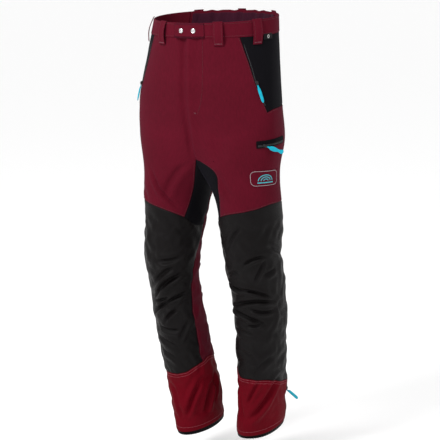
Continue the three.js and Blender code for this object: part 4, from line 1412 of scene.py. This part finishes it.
shield_points, shield_faces = slab(fly_low, fly_high)
flat_shield = shield_points.reshape(-1, 3)
add_piece("fly_shield", flat_shield, shield_faces, softshell, replaces=("fly_shield",),
          uv=flat_shield[:, [0, 2]])
add_solids("fly_zip", [slab(zip_low, zip_high)], tape_black, replaces=("fly_zip",))
teeth = np.arange(zip_low[2] + 1, zip_high[2] - 1, 1.7)
left = np.stack([0 * teeth - 1.8, 0 * teeth + zip_low[1] - 0.3, teeth], -1)
forward = np.tile((0.0, -1.0, 0.0), (len(teeth), 1))
add_solids("fly_coil", [beads(left, left + (3.6, 0, 0.5), forward, 0.7, 0.3)], coil_nylon)
for node in ("fly_slider", "fly_pull"):
    low, high = (np.array(corner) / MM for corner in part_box(node))
    half, middle = (high - low) / 2, (high + low) / 2
    shape, faces = ribs([(-half[2], 0.35 * half[0], half[1], 0), (-0.8 * half[2], 0.8 * half[0], half[1], 0),
                         (0, 0.7 * half[0], half[1], 0), (0.7 * half[2], half[0], half[1], 0),
                         (half[2], 0.4 * half[0], 0.7 * half[1], 0)], 24)
    add_solids(node, [(middle + shape[..., [0, 2, 1]], faces)], dark_metal, "fly_runner",
               (node,))
print("fly made,", len(teeth), "teeth")

# %% [markdown]
# ### Stitching
# Rows of stitches draw the outline of a garment more than its seams do. Each is a short thick rod with thin
# ends that dip into the cloth.

# %% Seam stitches
def beside(side, seam, start, end, offset):
    """A row of stitches beside a seam that gives a drop for each angle; offset is downwards in
    millimetres."""
    angle = np.linspace(start, end, 160)
    return stitches(side, angle, as_curve(seam)(angle) + offset)


def beside_upright(side, seam, start, end, offset, turn_mm=MM_PER_DEGREE):
    """A row of stitches beside an upright seam; offset is in millimetres round the leg."""
    drop = np.linspace(start, end, 160)
    return stitches(side, as_curve(seam)(drop) + offset / turn_mm, drop)


for name, side in SIDES.items():
    foot = foot_of(side, gusset_front[side], 480)
    shell_rows = [
        beside_upright(side, hip_front, BAND + 2, HIP_TIP, 2.6, 2.6),
        beside(side, hip_bottom, SIDE_SEAM + 2, HIP_TIP_ANGLE, 2.6),
        beside(side, knee_top, SIDE_SEAM + 2, float(gusset_front[side](foot)), -2.6),
        beside_upright(side, gusset_front[side], GUSSET_TOP + 4, foot - 2, -2.6),
        beside_upright(side, knee_inner, SEAT_FOOT + 30, cuff_top(172) - 3, 2.6),
        beside_upright(side, SIDE_SEAM, BAND + 4, knee_top(SIDE_SEAM) - 3, -2.8, 2.2),
    ]
    add_solids(f"shell_stitches_{name}", shell_rows, thread_dark)
    cuff_first, cuff_last = ANKLE_ANGLE - 360 + 5, ANKLE_ANGLE - 5
    cuff_rows = [beside(side, cuff_top, cuff_first, cuff_last, offset) for offset in (2.6, 8.6)]
    cuff_rows.append(beside(side, HEM, cuff_first, cuff_last, -11))
    add_solids(f"cuff_stitches_{name}", cuff_rows, thread_crimson)
    band_end = angle_across(tab_reach + 1 if side > 0 else 2 - tab_reach)
    band_angle = np.linspace(band_side + 1, band_end - 1, 160)
    band_rows = [stitches(side, band_angle, row, BAND_OUT) for row in (STITCH_IN, BAND - STITCH_IN)]
    add_solids(f"band_stitches_{name}", band_rows, thread_dark)

j_full = np.linspace(BAND + 3, down(0.6), 160)
j_line = through([(BAND, 76), (down(0.25), 76.5), (down(0.42), 76.5), (down(0.5), 79), (down(0.56), 84),
                  (down(0.6), 90)], j_full)
add_solids("fly_stitches", [stitches(1, j_line, j_full, 0.4)], thread_dark)
tack_angle = np.linspace(86, 90, 10)
add_solids("fly_bartack", [stitches(1, tack_angle, row + 0 * tack_angle, 2.2, 1.3, 0.5)
                           for row in (down(0.565), down(0.57))], thread_pink)
print("stitching done")

# %% [markdown]
# ## Floor, light and camera
# A plain pale studio: one large soft light high in front, a weaker one from the side and a white world. The
# floor lies where the wearer's soles would be.

# %% Studio
FLOOR_BELOW_HEM = 75.0
floor_mesh = bpy.data.meshes.new("floor")
floor_reach = 150.0
floor_z = cad_low.z - FLOOR_BELOW_HEM * MM
floor_corners = [(x * floor_reach, y * floor_reach, floor_z) for x, y in ((-1, -1), (1, -1), (1, 1), (-1, 1))]
floor_mesh.from_pydata(floor_corners, [], [(0, 1, 2, 3)])
floor = add_object("floor", floor_mesh)
floor_paint, _, floor_shader = new_material("matt white studio floor")
floor_shader.inputs["Base Color"].default_value = linear("#fbfbfb")
floor_shader.inputs["Roughness"].default_value = 0.9
floor_mesh.materials.append(floor_paint)

world = bpy.data.worlds.new("pale studio")
bpy.context.scene.world = world
world.use_nodes = True
sky = world.node_tree.nodes["Background"]
sky.inputs["Color"].default_value = (1, 1, 1, 1)
sky.inputs["Strength"].default_value = 1.0
bpy.context.scene.view_settings.view_transform = "Standard"

CAMERA_AZIMUTH, CAMERA_ELEVATION, CAMERA_DISTANCE = 34.5, 10.5, 3.2
target = np.array([0.0082, 0.0057, cad_low.z + 0.576])


def direction(azimuth, elevation):
    """The unit vector from the object towards a viewer at that azimuth and elevation."""
    a, e = math.radians(azimuth), math.radians(elevation)
    return np.array([math.sin(a) * math.cos(e), -math.cos(a) * math.cos(e), math.sin(e)])


def aim(thing, place):
    """Puts a light or camera at a place, looking at the target."""
    thing.location = place
    thing.rotation_mode = "QUATERNION"
    thing.rotation_quaternion = Vector(target - place).to_track_quat("-Z", "Y")


def soft_light(name, azimuth, elevation, distance, size, power):
    """One square soft box."""
    lamp = bpy.data.lights.new(name, "AREA")
    lamp.size, lamp.energy = size, power
    aim(add_object(name, lamp), target + distance * direction(azimuth, elevation))


soft_light("key", -14, 44, 3.0, 0.9, 68)
soft_light("fill", 95, 20, 3.2, 1.6, 6)
camera_data = bpy.data.cameras.new("camera")
camera_data.lens = 102
camera_data.sensor_width = 36
camera = add_object("camera", camera_data)
aim(camera, target + CAMERA_DISTANCE * direction(CAMERA_AZIMUTH, CAMERA_ELEVATION))
bpy.context.scene.camera = camera
print("camera at", [round(float(x), 3) for x in camera.location])
